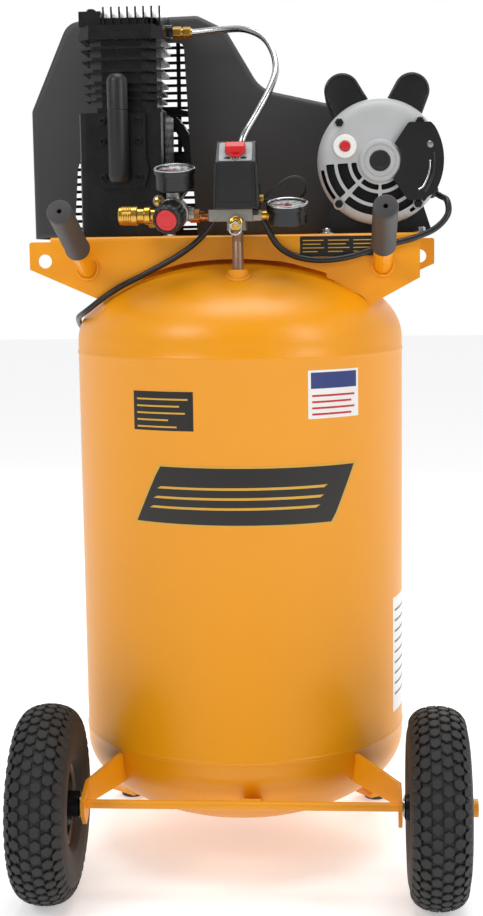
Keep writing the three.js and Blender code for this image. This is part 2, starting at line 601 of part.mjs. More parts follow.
function motorBell() {
  const lip = motor.radius + motor.bellLip;
  const open = -motor.front - GAP;
  const front = open - motor.bellDepth;
  const t = motor.bellWall;
  const shell = turned([[lip, open], [lip, open - 12], [lip - 7, front + 5], [lip - 14, front],
    [motor.hubRadius, front], [motor.hubRadius - 4, front - motor.hubProud], [14, front - motor.hubProud],
    [12, front - motor.hubProud + 1], [12, front + 12], [20, front + 12], [24, front + t],
    [lip - 16, front + t], [lip - 7 - t, front + 9], [lip - t, open - 12], [lip - t, open]].reverse(), 28, 'y');
  const buttonHole = rod(holeRound(6.5, GAP, 16), front - 2, front + 20, 16, 'y').translate([-46.5, 0, 20]);
  return cut(shell, ...bellVents(front), buttonHole);
}

function motorRotor() {
  const back = beltY + pulley.width / 2 + 6;
  const front = -motor.front - motor.bellDepth + 14;
  const shaft = rod(motor.shaftRadius, front, back, 16, 'y');
  const core = rod(motor.statorBore - 1.2, -motor.coreHalf, motor.coreHalf, 24, 'y');
  const fan = rod(motor.fanRadius, motor.statorHalf + 3, motor.statorHalf + 7, 24, 'y');
  return join(shaft, core, fan);
}

function pulleyPiece() {
  const half = pulley.width / 2;
  const mouth = belt.width / 2 + 1.5;
  const floor = belt.width / 2 + GAP;
  const bore = holeRound(motor.shaftRadius, GAP, 16);
  const r = pulley.radius;
  return turned([[bore, beltY - half], [r, beltY - half], [r, beltY - mouth],
    [r - pulley.grooveDepth, beltY - floor], [r - pulley.grooveDepth, beltY + floor], [r, beltY + mouth],
    [r, beltY + half], [bore, beltY + half]], 28, 'y');
}

function capacitorCover(reach, tilt) {
  const { tip, foot } = capacitor;
  const dome = arc(0, reach, tip, 0, 180, 8);
  const outline = [new THREE.Vector2(tip + 3, foot), ...dome, new THREE.Vector2(-tip - 3, foot)];
  const block = slabXZ(outline, -motor.front - capacitor.overhang, capacitor.back).rotate([0, tilt, 0]);
  const space = rod(holeRound(motor.radius + motor.bellLip, GAP, 40), -200, 200, 40, 'y');
  return cut(block, space);
}

function terminalCover() {
  const front = -motor.front - GAP - motor.bellDepth - GAP;
  const roundHub = arc(0, 0, motor.hubRadius + 1.5, -50, 45, 5).map(({ x, y }) => [x, y]);
  const outline = rounded([[39, 47, 3], [70, 47, 8], [80, 20, 8], [80, -11, 8], [63, -50, 5], [38, -50, 3],
    ...roundHub], 3);
  return slabXZ(outline, front - 7, front);
}

function resetButton() {
  const front = -motor.front - GAP - motor.bellDepth;
  const cap = rod(6.5, front - 5, front + 16, 16, 'y');
  return cap.translate([-46.5, 0, 20]);
}

function motorBase() {
  const floor = GAP - motor.height;
  const plate = box(-84, 76, -50, 46, floor, floor + 4);
  const saddles = [-44, 30].map((y) => {
    const outline = [[-78, floor], [72, floor], [58, floor + 42], [-62, floor + 42]]
      .map(([x, z]) => new THREE.Vector2(x, z));
    return slabXZ(outline, y, y + 5);
  });
  return cut(join(plate, ...saddles), rod(holeRound(motor.radius, GAP, 40), -200, 200, 40, 'y'));
}

function motorGroup() {
  return assembly([motor.x, 0, motorZ],
    part('motor_shell', motorShell(), BLACK_METAL), part('motor_front_bell', motorBell(), CAST_GREY),
    part('motor_rotor', motorRotor(), STEEL), part('motor_pulley', pulleyPiece(), CAST_GREY),
    part('left_capacitor_cover', capacitorCover(capacitor.leftReach, -capacitor.leftTilt), BLACK_PLASTIC),
    part('right_capacitor_cover', capacitorCover(capacitor.rightReach, capacitor.rightTilt), BLACK_PLASTIC),
    part('terminal_cover', terminalCover(), BLACK_METAL), part('reset_button', resetButton(), RED),
    part('motor_base', motorBase(), BLACK_METAL));
}

// ---------------------------------------------------------------- belt and guard

// The belt's loop round both pulleys at a radius on each, as an outline in X and Z.
function beltLoop(large, small) {
  const from = new THREE.Vector2(pump.x, crankZ);
  const to = new THREE.Vector2(motor.x, motorZ);
  const along = to.clone().sub(from);
  const heading = (along.angle() * 180) / Math.PI;
  const wrap = (Math.acos((large - small) / along.length()) * 180) / Math.PI;
  const headingFlat = heading > 180 ? heading - 360 : heading;
  return [...arc(from.x, from.y, large, headingFlat + wrap, headingFlat + 360 - wrap, 26),
    ...arc(to.x, to.y, small, headingFlat - wrap, headingFlat + wrap, 12)];
}

function driveBelt() {
  const clear = belt.sink;
  const outer = beltLoop(flywheel.radius - clear, pulley.radius - clear);
  const inner = beltLoop(flywheel.radius - clear - belt.height, pulley.radius - clear - belt.height);
  return slabXZ(outer, beltY - belt.width / 2, beltY + belt.width / 2, [inner.reverse()]);
}

function guardOutline() {
  const low = deckTop + GAP;
  const top = deckTop + guard.top;
  const motorTop = motorZ + 66;
  return rounded([[guard.left, low], [guard.right, low, 20], [guard.right, motorTop, 46],
    [motor.x - 80, motorTop + 28, 30], [30, top - 105, 50], [-20, top - 20, 26], [-60, top, 18],
    [-248, top - 4, 30], [guard.left, deckTop + 184, 14]], 4);
}

function guardShell() {
  const outline = guardOutline();
  const [front, back] = [guard.front, guard.front + guard.depth];
  const hollow = slabXZ(inset(outline, guard.sheet), front + guard.sheet, back + 1);
  const floorless = box(guard.left + guard.sheet, guard.right - 22, front + guard.sheet, back + 1,
    deckTop - 5, deckTop + 60);
  const window = slabXZ(rounded([[pump.x + 90, deckTop - 5], [pump.x + 81, deckTop + 124],
    [pump.x + 74, deckTop + 276, 10], [pump.x - 52, deckTop + 276, 10], [pump.x - 62, deckTop + 168, 12],
    [pump.x - 84, deckTop + 100, 8], [pump.x - 92, deckTop - 5]]), front - 1, front + guard.sheet + 1);
  const motorHole = rod(guard.motorHole, front - 1, front + guard.sheet + 1, 28, 'y')
    .translate([motor.x, 0, motorZ]);
  return cut(slabXZ(outline, front, back), hollow, floorless, window, motorHole);
}

// Flat grille across the back of the guard, with level slots between its bars.
function rearGrille() {
  const outline = guardOutline();
  const low = guard.front + guard.depth + GAP;
  const high = low + guard.grilleSheet;
  const plate = slabXZ(outline, low, high);
  const open = slabXZ(inset(outline, guard.slotInset), low - 1, high + 1);
  const rows = Math.floor((guard.top - 2 * guard.slotInset) / guard.slotPitch);
  let slots = null;
  for (let i = 0; i < rows; i += 1) {
    const z = deckTop + guard.slotInset + i * guard.slotPitch;
    const row = box(guard.left, guard.right, low - 1, high + 1, z, z + guard.slotHeight);
    slots = slots ? slots.add(row) : row;
  }
  const rib = box(-75, -65, low - 2, high + 2, 0, deckTop + guard.top);
  return cut(plate, cut(slots.intersect(open), rib));
}

// ---------------------------------------------------------------- pressure controls

const manifoldLow = deckTop + control.manifoldGap;
const manifoldTop = manifoldLow + control.bossDrop + control.barHeight;
const barFront = control.y - control.barDepth / 2 - 1;
const barBack = barFront + control.barDepth;
const nippleLeft = control.x - 36;
const barRight = control.x + 21;
const checkValve = { x: control.x, y: barBack + 13, radius: 10, height: 30, port: 15, portRise: 13 };
const gland = { left: control.x - 22, right: control.x + 22, y: barBack + 9, radius: 6, length: 12,
  inset: 4, splay: 40 };
const switchLow = manifoldTop + GAP;
const lineZ = manifoldTop - control.barHeight / 2;

function riserPipe() {
  const low = bungTop - control.riserSeat;
  const r = control.riserRadius;
  return ring(r - 2.5, r, low, manifoldLow - GAP, 16).translate([control.x, control.y, 0]);
}

function manifold() {
  const barLow = manifoldLow + control.bossDrop;
  const main = box(nippleLeft, barRight, barFront, barBack, barLow, manifoldTop);
  const boss = box(control.x - 12, control.x + 12, barFront - 1, control.y + 14, manifoldLow, barLow + 1);
  const shelf = box(control.x - 12, control.x + 12, barBack - 1, barBack + 25, barLow, manifoldTop);
  const stub = rod(8, barRight - 1, barRight + 11, 6, 'x').translate([0, control.y, lineZ]);
  return join(main, boss, shelf, stub);
}

// A place on the axis of a cord gland, at a distance down it from its root in the switch's lobe.
function glandPlace(side, reach) {
  const splay = THREE.MathUtils.degToRad(gland.splay);
  const x = (side < 0 ? gland.left : gland.right) - side * gland.inset;
  return [x + side * reach * Math.sin(splay), gland.y, switchLow + 4 - reach * Math.cos(splay)];
}

function switchBody() {
  const [low, top] = [switchLow, switchLow + control.switchHeight];
  const front = barFront - 5;
  const half = control.switchWidth / 2;
  const outline = [[front, low], [barBack + 1, low], [barBack + 1, top - 14], [barBack - 6, top],
    [front + 22, top], [front, top - 28]].map(([y, z]) => new THREE.Vector2(y, z));
  const body = slabYZ(outline, control.x - half, control.x + half);
  const lobes = [gland.left, gland.right].map((x) => box(x - 7, x + 7, barBack, gland.y + 7, low + 3, low + 34));
  const glands = [-1, 1].map((side) => rod(gland.radius, -gland.length, 1, 12)
    .rotate([0, -side * gland.splay, 0]).translate(glandPlace(side, 0)));
  return join(body, ...lobes, ...glands);
}

// The switch knob stands square on the sloped panel.
const panelTilt = (Math.atan2(22, 28) * 180) / Math.PI;
const knobSeat = [control.x, barFront + 5.6, switchLow + control.switchHeight - 14.4];

function switchKnob() {
  const base = rod(11, 0.6, 5, 20);
  const grip = box(-14, 14, -6, 6, 4, 15);
  return join(base, grip).rotate([90 - panelTilt, 0, 0]).translate(knobSeat);
}

function safetyValve() {
  const face = barFront - 1 - GAP;
  const z = manifoldLow + 9;
  const body = turned([[0, face - 16], [5, face - 16], [5, face - 12], [9, face - 11], [9, face - 5],
    [6.5, face - 4], [6.5, face], [0, face]], 12, 'y').translate([control.x, 0, z]);
  const ringPiece = turned([[6.4, -0.9], [7.6, -1.6], [8.8, 0], [7.6, 1.6]], 16, 'y')
    .translate([control.x, face - 20.5, z - 7.6]);
  return [part('safety_valve', body, BRASS), part('safety_valve_ring', ringPiece, STEEL)];
}

const regulatorSeat = [control.x - 82, control.y - 6, lineZ + 6];
const regulatorAim = [107, 0, -10];
const leftGauge = { root: [regulatorSeat[0] + 2, regulatorSeat[1], lineZ + 2], reach: 63, tilt: 14 };

function regulatorBody() {
  const [x, y, z] = regulatorSeat;
  const barrel = rod(19, -8, 14, 24).rotate(regulatorAim).translate([x, y, z]);
  const cross = rod(9.5, x - 24, x + 26, 12, 'x').translate([0, y, lineZ + 2]);
  const nipple = rod(8, x + 20, nippleLeft - GAP, 6, 'x').translate([0, y, lineZ]);
  const gaugePort = rod(8, 0, leftGauge.reach - gauge.height - GAP, 12).rotate([leftGauge.tilt, 0, 0])
    .translate(leftGauge.root);
  const eyelet = rod(8, y - 8, y + 4, 14, 'y').translate([x - 20, 0, lineZ + 20]);
  return join(barrel, cross, nipple, gaugePort, eyelet);
}

function regulatorKnob() {
  const knob = turned([[0, 14.6], [20.5, 14.6], [20.5, 34], [15, 42], [0, 42]], 24);
  return knob.rotate(regulatorAim).translate(regulatorSeat);
}

function couplerSet() {
  const [x, y] = regulatorSeat;
  const end = x - 24 - GAP;
  const mouth = end - coupler.length;
  const place = [0, y, lineZ + 2];
  const body = turned([[0, mouth + coupler.socketDepth], [coupler.socket, mouth + coupler.socketDepth],
    [coupler.socket, mouth], [coupler.bodyRadius, mouth], [coupler.bodyRadius, end - 16], [12, end - 15],
    [12, end - 8], [8.5, end - 7], [8.5, end], [0, end]], 16, 'x').translate(place);
  const inner = holeRound(coupler.bodyRadius, RUN, 16);
  const low = mouth + 1.5;
  const sleeve = ring(inner, coupler.sleeveRadius, low, low + coupler.sleeveLength, 16, 'x').translate(place);
  return [part('coupler_body', body, BRASS), part('coupler_sleeve', sleeve, BRASS)];
}

// A pressure gauge with its face up: a cup with the dial as its floor, and the pointer in the cup.
function gaugeSet(side, place, tilt, stem) {
  const [r, h] = [gauge.radius, gauge.height];
  const floor = -gauge.dialDepth;
  const dial = r - gauge.wall;
  const cup = turned([[0, -h], [r - 3, -h], [r - 1, -h + 3], [r - 1, -6], [r + gauge.bezel, -5],
    [r + gauge.bezel, 0], [dial, 0], [dial, floor], [0, floor]], 28);
  const aim = (shape) => shape.rotate([tilt, 0, 0]).translate(place);
  const hub = rod(2.6, floor + 0.6, floor + 2.4, 12);
  const hand = box(-gauge.needle, 5, -0.8, 0.8, floor + 0.8, floor + 1.9);
  return [part(`${side}_gauge`, stem ? join(aim(cup), stem) : aim(cup), BLACK_METAL),
    part(`${side}_gauge_needle`, aim(join(hub, hand)), RED)];
}

const rightGauge = { place: [control.x + 66, control.y - 6, manifoldTop + 9], tilt: 16 };

// The place a distance along an axis that starts at the root and leans towards the front.
function leaning([x, y, z], reach, tilt) {
  const angle = THREE.MathUtils.degToRad(tilt);
  return [x, y - reach * Math.sin(angle), z + reach * Math.cos(angle)];
}

function gauges() {
  const stem = rod(6, barRight + 11 + GAP, rightGauge.place[0] - gauge.radius + 6, 8, 'x')
    .translate([0, control.y, lineZ]);
  const leftPlace = leaning(leftGauge.root, leftGauge.reach, leftGauge.tilt);
  return [...gaugeSet('right', rightGauge.place, rightGauge.tilt, stem),
    ...gaugeSet('left', leftPlace, leftGauge.tilt, null)];
}

// ---------------------------------------------------------------- lines and cords

const portX = pump.x + pump.headHalf + pump.portProud;

function dischargeLine() {
  const checkTop = manifoldTop + GAP + checkValve.height;
  const z = deckTop + pump.portHeight;
  const start = [portX + GAP, pump.portY, z];
  const line = bar([start, [portX + 26, pump.portY, z], [-16, 4, deckTop + 284], [14, -14, deckTop + 281],
    [39, -30, deckTop + 268], [53, -45, deckTop + 247], [58, -61, deckTop + 221], [50, -78, deckTop + 193],
    [32, -96, deckTop + 158], [15, -111, deckTop + 126], [checkValve.x, checkValve.y, deckTop + 98],
    [checkValve.x, checkValve.y, checkTop + GAP]], tubeLine.radius, 8, 34);
  const nut = rod(tubeLine.nutRadius, portX + GAP, portX + 26, 6, 'x').translate([0, pump.portY, z]);
  return join(line, nut);
}

function checkValvePiece() {
  const low = manifoldTop + GAP;
  const body = rod(checkValve.radius, low, low + checkValve.height, 6);
  const port = rod(4, 0, checkValve.port, 8, 'y').translate([0, 0, low + checkValve.portRise]);
  return join(body, port).translate([checkValve.x, checkValve.y, 0]);
}

// The thin line that vents the pump when the switch opens: from the switch's side round to the port
// at the back of the check valve.
function unloaderLine() {
  const side = control.x + control.switchWidth / 2 + GAP;
  const [x, y] = [checkValve.x, checkValve.y + checkValve.port + GAP];
  const z = manifoldTop + GAP + checkValve.portRise;
  return bar([[side, -146, deckTop + 46], [side + 6, -146, deckTop + 46], [60, -145, deckTop + 61],
    [80, -142, deckTop + 73], [93, -136, deckTop + 72], [99, -127, deckTop + 64], [97, -115, deckTop + 53],
    [86, -102, deckTop + 46], [66, -88, z + 1], [44, -76, z], [24, -70, z], [x + 3, y + 20, z],
    [x, y + 9, z], [x, y, z]], tubeLine.unloader, 8, 30);
}

function motorLead() {
  const end = motor.radius + motor.bellLip + 1;
  const angle = THREE.MathUtils.degToRad(-30);
  const y = -motor.front - 14;
  return bar([glandPlace(1, gland.length + GAP), glandPlace(1, gland.length + 9), [51, -110, deckTop - 1],
    [62, -107, deckTop - 17], [82, -105, deckTop - 29], [112, -104, deckTop - 35],
    [152, -104, deckTop - 32], [203, -104.5, deckTop - 17], [243, -105, deckTop - 7],
    [272, -104, deckTop + 6], [287, -98, deckTop + 24], [286, -88, deckTop + 42],
    [motor.x + (end + 9) * Math.cos(angle), y - 3, motorZ + (end + 9) * Math.sin(angle)],
    [motor.x + end * Math.cos(angle), y, motorZ + end * Math.sin(angle)]], tubeLine.lead, 8, 44);
}

const coil = { x: 0, y: 168, radius: 43, band: 16.6, height: 12.4 };
const coilOuter = coil.radius + coil.band / 2;
const cordRun = { standOff: 8, turnTop: 156, turnLow: 124, top: 708, low: 170, foot: 95, bend: 40 };
const plug = { radius: 13, length: 36 };

// A place beside the tank's wall, at an angle round it and a height.
function besideTank(turn, z) {
  const angle = THREE.MathUtils.degToRad(turn);
  const reach = tank.radius + cordRun.standOff;
  return new THREE.Vector3(reach * Math.cos(angle), reach * Math.sin(angle), z);
}

// The power cord: over the tank's left shoulder, down behind it, and along the floor to its coil.
function powerCord() {
  const places = [glandPlace(-1, gland.length + GAP), glandPlace(-1, gland.length + 9), [-36, -112, 876],
    [-53, -109.5, 860], [-75, -107.5, 845], [-101, -106, 831], [-127, -105.5, 818], [-152, -105, 806],
    [-178, -104, 790], [-202, -95.5, 773], [-216, -72, 765], [-223, -44, 761], [-228, -14, 756],
    [-231, 18, 748], [-227, 62, 732]];
  for (let i = 0; i <= 8; i += 1) {
    const share = i / 8;
    const turn = THREE.MathUtils.lerp(cordRun.turnTop, cordRun.turnLow, share ** 0.85);
    places.push(besideTank(turn, THREE.MathUtils.lerp(cordRun.top, cordRun.low, share)).toArray());
  }
  places.push(besideTank(cordRun.turnLow, cordRun.foot).toArray());
  const floorZ = tubeLine.cord + GAP;
  const foot = besideTank(cordRun.turnLow, floorZ);
  const coilPlace = new THREE.Vector3(coil.x, coil.y, floorZ);
  const heading = coilPlace.clone().sub(foot).normalize();
  for (const angle of [0, 30, 60, 90].map(THREE.MathUtils.degToRad)) {
    const place = foot.clone().addScaledVector(heading, cordRun.bend * (1 - Math.cos(angle)));
    places.push([place.x, place.y, floorZ + cordRun.bend * (1 - Math.sin(angle))]);
  }
  places.push(coilPlace.clone().addScaledVector(heading, -coilOuter - 12).toArray());
  places.push(coilPlace.clone().addScaledVector(heading, -coilOuter - GAP).toArray());
  return bar(places, tubeLine.cord, 8, 58);
}

// The coil as one ring, and the plug beside it, in line with the end that leaves the coil's inside.
function cordSet() {
  const inner = coil.radius - coil.band / 2;
  const turns = ring(inner, coilOuter, GAP, coil.height, 28).translate([coil.x, coil.y, 0]);
  const plugDrop = coil.radius - 4;
  const start = coil.x + Math.sqrt(coilOuter ** 2 - (plugDrop - plug.radius) ** 2) + GAP;
  const body = rod(plug.radius, start, start + plug.length, 14, 'x')
    .translate([0, coil.y - plugDrop, plug.radius + GAP]);
  return [part('power_cord', powerCord(), BLACK_PLASTIC), part('cord_coil', turns, BLACK_PLASTIC),
    part('plug', body, BLACK_PLASTIC)];
}

// ---------------------------------------------------------------- the whole object

const CORD_NODES = ['power_cord', 'cord_coil', 'plug'];

const compressor = new THREE.Group();
compressor.add(part('tank_shell', tankPiece(), YELLOW), ...drainValve());
compressor.add(part('platform', platform(), YELLOW), ...handleSet());
compressor.add(part('axle_frame', axleFrame(), YELLOW), ...wheelSet(), ...rearFeet());
compressor.add(pumpGroup(), motorGroup());
compressor.add(part('drive_belt', driveBelt(), RUBBER), part('guard_shell', guardShell(), BLACK_PLASTIC));
compressor.add(part('rear_grille', rearGrille(), BLACK_METAL));
compressor.add(part('riser_pipe', riserPipe(), STEEL), part('manifold', manifold(), CAST_GREY));
compressor.add(part('switch_body', switchBody(), BLACK_PLASTIC), part('switch_knob', switchKnob(), RED));
compressor.add(part('regulator_body', regulatorBody(), CAST_GREY));
compressor.add(part('regulator_knob', regulatorKnob(), BLACK_PLASTIC));
compressor.add(...safetyValve(), ...couplerSet(), ...gauges());
compressor.add(part('check_valve', checkValvePiece(), BRASS));
compressor.add(part('discharge_tube', dischargeLine(), STEEL));
compressor.add(part('unloader_tube', unloaderLine(), BLACK_PLASTIC));
compressor.add(part('motor_lead', motorLead(), BLACK_PLASTIC), ...cordSet());

// The origin is on the floor, under the middle of everything but the cord.
const bounds = new THREE.Box3();
compressor.updateMatrixWorld(true);
compressor.traverse((item) => {
  if (item.isMesh && !CORD_NODES.includes(item.name)) bounds.expandByObject(item, true);
});
const middle = bounds.getCenter(new THREE.Vector3());
compressor.position.set(-middle.x, -middle.y, -bounds.min.z);

export default compressor;
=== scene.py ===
"""Vertical air compressor on two wheels: the looks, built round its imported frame.

Shapes are written in millimetres from the tank's axis at floor level, and placed in the frame by one matrix.
"""
import math

import bmesh
import bpy
from mathutils import Matrix, Vector


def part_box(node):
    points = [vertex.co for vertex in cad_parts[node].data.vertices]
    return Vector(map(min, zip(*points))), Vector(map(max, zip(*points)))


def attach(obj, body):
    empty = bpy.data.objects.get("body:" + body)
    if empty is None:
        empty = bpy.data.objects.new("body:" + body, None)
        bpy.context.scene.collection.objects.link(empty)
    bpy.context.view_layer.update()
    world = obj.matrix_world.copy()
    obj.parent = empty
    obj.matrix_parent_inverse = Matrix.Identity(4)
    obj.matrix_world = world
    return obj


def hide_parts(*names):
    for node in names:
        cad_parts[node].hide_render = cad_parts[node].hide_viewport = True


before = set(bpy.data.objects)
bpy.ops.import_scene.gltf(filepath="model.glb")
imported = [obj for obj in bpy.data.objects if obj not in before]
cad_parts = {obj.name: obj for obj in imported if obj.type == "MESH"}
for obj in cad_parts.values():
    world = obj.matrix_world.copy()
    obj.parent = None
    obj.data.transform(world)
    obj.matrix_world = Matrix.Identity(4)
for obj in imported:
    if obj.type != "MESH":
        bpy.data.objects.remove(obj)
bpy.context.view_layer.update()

# ---------------------------------------------------------------- places

MM = 0.001
tank_low, tank_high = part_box("tank_shell")
TANK_AXIS = Vector(((tank_low[0] + tank_high[0]) / 2, (tank_low[1] + tank_high[1]) / 2, 0))
TO_FRAME = Matrix.Translation(TANK_AXIS) @ Matrix.Scale(MM, 4)

DECK = 872.0
TANK_R = 228.6
HEAD_DEPTH = TANK_R / 2
LOW_DOME, HIGH_DOME = 161.3, 729.3
SEAMS = (177.3, 713.3)
PUMP_X = -154.0
MOTOR_X, MOTOR_Z = 197.0, 967.0
LINE_Z = 896.5
CONTROL_X, CONTROL_Y = 9.0, -144.0
AXLE_Y, AXLE_Z = -255.0, 131.0


def spot(x, y, z):
    """A shift to a place."""
    return Matrix.Translation((x, y, z))


def turned(degrees, axis):
    """A turn about an axis."""
    return Matrix.Rotation(math.radians(degrees), 4, axis)


AXIS_Y = turned(-90, "X")  # lays a piece that stands up along +Y
AXIS_X = turned(90, "Y")  # and along +X
FRONT = turned(90, "X")  # and turns it to face the front
CAMERA_PLACE = Vector((157.55, -2201.65, 844.2))
CAMERA_TURN, CAMERA_TIP, CAMERA_ROLL = 4.105, 82.562, -0.8146
CAMERA_LENS = 60.92
FLOOR_REACH = 14.0
FLOOR_GLOW = 0.38


# ---------------------------------------------------------------- camera, floor and light

def set_camera():
    """A long lens a little to the right of the object and above its middle."""
    data = bpy.data.cameras.new("studio_camera")
    data.lens = CAMERA_LENS
    data.sensor_width = 36.0
    data.clip_end = 50.0
    camera = bpy.data.objects.new("studio_camera", data)
    heading = turned(CAMERA_TURN, "Z") @ turned(CAMERA_TIP, "X") @ turned(CAMERA_ROLL, "Z")
    camera.matrix_world = Matrix.Translation(TO_FRAME @ CAMERA_PLACE) @ heading
    bpy.context.scene.collection.objects.link(camera)
    bpy.context.scene.camera = camera


def area_light(name, place, target, width, height, power):
    """A rectangular lamp aimed at a target."""
    data = bpy.data.lights.new(name, "AREA")
    data.shape = "RECTANGLE"
    data.size, data.size_y, data.energy = width, height, power
    lamp = bpy.data.objects.new(name, data)
    lamp.location = place
    lamp.rotation_euler = (Vector(target) - Vector(place)).to_track_quat("-Z", "Y").to_euler()
    bpy.context.scene.collection.objects.link(lamp)


def set_stage():
    """The floor, a world that is brighter behind the object than in front, and four lamps."""
    mesh = bpy.data.meshes.new("studio_floor")
    ways = ((-1, -1), (1, -1), (1, 1), (-1, 1))
    mesh.from_pydata([(x * FLOOR_REACH, y * FLOOR_REACH, 0) for x, y in ways], [], [(0, 1, 2, 3)])
    paper = STUDIO_FLOOR.node_tree.nodes["Principled BSDF"]
    paper.inputs["Emission Color"].default_value = (1, 1, 1, 1)
    paper.inputs["Emission Strength"].default_value = FLOOR_GLOW
    floor = bpy.data.objects.new("studio_floor", mesh)
    bpy.context.scene.collection.objects.link(floor)
    mesh.materials.append(STUDIO_FLOOR)
    world = bpy.data.worlds.new("studio")
    world.use_nodes = True
    tree = world.node_tree
    direction = add_node(tree, "ShaderNodeTexCoord").outputs["Generated"]
    depth = add_node(tree, "ShaderNodeSeparateXYZ", links={"Vector": direction}).outputs["Y"]
    wall = add_node(tree, "ShaderNodeMapRange", {"From Min": -0.5, "From Max": 0.7, "To Min": 0.25,
                                                 "To Max": 1.0}, {"Value": depth})
    tree.links.new(wall.outputs[0], tree.nodes["Background"].inputs["Strength"])
    tree.nodes["Background"].inputs["Color"].default_value = (1, 1, 1, 1)
    bpy.context.scene.world = world
    area_light("key_light", (-1.9, -2.4, 2.6), (0, 0, 0.7), 1.2, 1.2, 36)
    area_light("side_light", (2.3, -1.8, 1.9), (0, 0, 0.7), 0.7, 1.8, 26)
    area_light("top_light", (0.1, -0.3, 3.0), (0, 0.1, 0.8), 1.6, 1.0, 27)
    area_light("back_light", (0.6, 2.6, 2.2), (0, 0, 0.7), 1.6, 1.6, 24)
    bpy.context.scene.view_settings.view_transform = "Standard"


# ---------------------------------------------------------------- material helpers

def linear(code):
    """An sRGB hex colour as linear RGBA."""
    parts = [int(code[i:i + 2], 16) / 255 for i in (1, 3, 5)]
    return tuple(c / 12.92 if c <= 0.04045 else ((c + 0.055) / 1.055) ** 2.4 for c in parts) + (1.0,)


def add_node(tree, kind, inputs=None, links=None, **settings):
    """A node with its settings, its input values and its links from other nodes' outputs."""
    made = tree.nodes.new(kind)
    for key, value in settings.items():
        setattr(made, key, value)
    for key, value in (inputs or {}).items():
        made.inputs[key].default_value = value
    for key, source in (links or {}).items():
        tree.links.new(source, made.inputs[key])
    return made


def per_mm(size):
    """The pattern scale that gives features of this size, for coordinates in metres."""
    return 1.0 / (size * MM)


IOR = 1.5  # paint, rubber and moulded plastic are all close to it
GLOSS_RANGE = 0.08


def surface(name, light, dark, rough, metal=0.0, grain=1.0, depth=0.05, patch=60.0, stretch=(1, 1, 1)):
    """A finish with a fine relief of the given grain, patches of two close tones and a varying gloss."""
    material = bpy.data.materials.new(name)
    material.use_nodes = True
    tree = material.node_tree
    shader = tree.nodes["Principled BSDF"]
    place = add_node(tree, "ShaderNodeTexCoord").outputs["Object"]
    spread = add_node(tree, "ShaderNodeMapping", {"Scale": stretch}, {"Vector": place}).outputs[0]
    tones = add_node(tree, "ShaderNodeTexNoise", {"Scale": per_mm(patch), "Detail": 4.0, "Roughness": 0.6},
                     {"Vector": spread})
    colour = add_node(tree, "ShaderNodeMix", {6: linear(dark), 7: linear(light)},
                      {0: tones.outputs["Fac"]}, data_type="RGBA")
    fine = add_node(tree, "ShaderNodeTexNoise", {"Scale": per_mm(grain), "Detail": 2.0}, {"Vector": spread})
    gloss = add_node(tree, "ShaderNodeMapRange",
                     {"To Min": rough - GLOSS_RANGE, "To Max": rough + GLOSS_RANGE},
                     {"Value": tones.outputs["Fac"]})
    bump = add_node(tree, "ShaderNodeBump", {"Strength": 1.0, "Distance": depth * MM},
                    {"Height": fine.outputs["Fac"]})
    tree.links.new(colour.outputs[2], shader.inputs["Base Color"])
    tree.links.new(gloss.outputs[0], shader.inputs["Roughness"])
    tree.links.new(bump.outputs[0], shader.inputs["Normal"])
    shader.inputs["Metallic"].default_value = metal
    if metal < 0.5:
        shader.inputs["IOR"].default_value = IOR
    return material


# Studio paper, lit a little from below: an even pale matte that stays light far from the lamps.
STUDIO_FLOOR = surface("pale_paper", "#f4f4f4", "#f1f1f1", 0.9, grain=3.0, depth=0.02, patch=400.0)
# Powder-coated steel: even colour, semi-gloss, with the orange-peel ripple that baking leaves.
POWDER_COAT = surface("powder_coat_yellow", "#ea9a00", "#e39200", 0.36, grain=3.2, depth=0.05, patch=180.0)
# Black enamel sprayed over sand-cast iron: the cast grain shows through, and the paint shines on it.
CAST_ENAMEL = surface("enamelled_cast_iron", "#101011", "#09090a", 0.27, grain=1.4, depth=0.05, patch=25.0)
# Black paint over die-cast aluminium: finer grain than the iron, the same gloss.
HEAD_ENAMEL = surface("enamelled_aluminium", "#111112", "#0a0a0b", 0.26, grain=0.9, depth=0.03, patch=20.0)
# Blow-moulded polyethylene: grey-black, dull, with a soft leathery grain from the mould.
GUARD_PLASTIC = surface("moulded_polyethylene", "#373738", "#303031", 0.5, grain=1.6, depth=0.07, patch=90.0)
# Injection-moulded ABS: fine spark-eroded grain, low sheen.
ABS_BLACK = surface("moulded_abs_black", "#17181a", "#121314", 0.42, grain=0.8, depth=0.04, patch=30.0)
# Nylon-filled trim around controls, a little greyer than the ABS.
ABS_GREY = surface("moulded_abs_grey", "#9a9d9f", "#8f9294", 0.42, grain=0.8, depth=0.03, patch=20.0)
# Light grey machinery enamel on a die-cast end bell.
BELL_ENAMEL = surface("grey_enamelled_casting", "#b2b3b4", "#a5a6a7", 0.42, grain=1.1, depth=0.07, patch=35.0)
# Rolled steel motor shell in satin black.
SHELL_PAINT = surface("satin_black_steel", "#141415", "#0f0f10", 0.34, grain=1.6, depth=0.03, patch=40.0)
# Tyre rubber: matt, slightly dusty between the blocks.
TYRE_RUBBER = surface("vulcanised_rubber", "#282828", "#191919", 0.68, grain=0.9, depth=0.12, patch=12.0)
# Foam-like nitrile grips: soft, grey-black.
GRIP_RUBBER = surface("nitrile_grip", "#3d3b3b", "#343232", 0.55, grain=0.7, depth=0.06, patch=15.0)
# Pressed steel rim in gloss black.
RIM_PAINT = surface("gloss_black_steel", "#101011", "#0a0a0b", 0.25, grain=2.5, depth=0.02, patch=30.0)
# Turned brass, lightly tarnished: rings of the cutting tool are too fine to show, so only tone varies.
BRASS = surface("turned_brass", "#d9b25c", "#b98c38", 0.24, metal=1.0, grain=0.8, depth=0.02, patch=5.0)
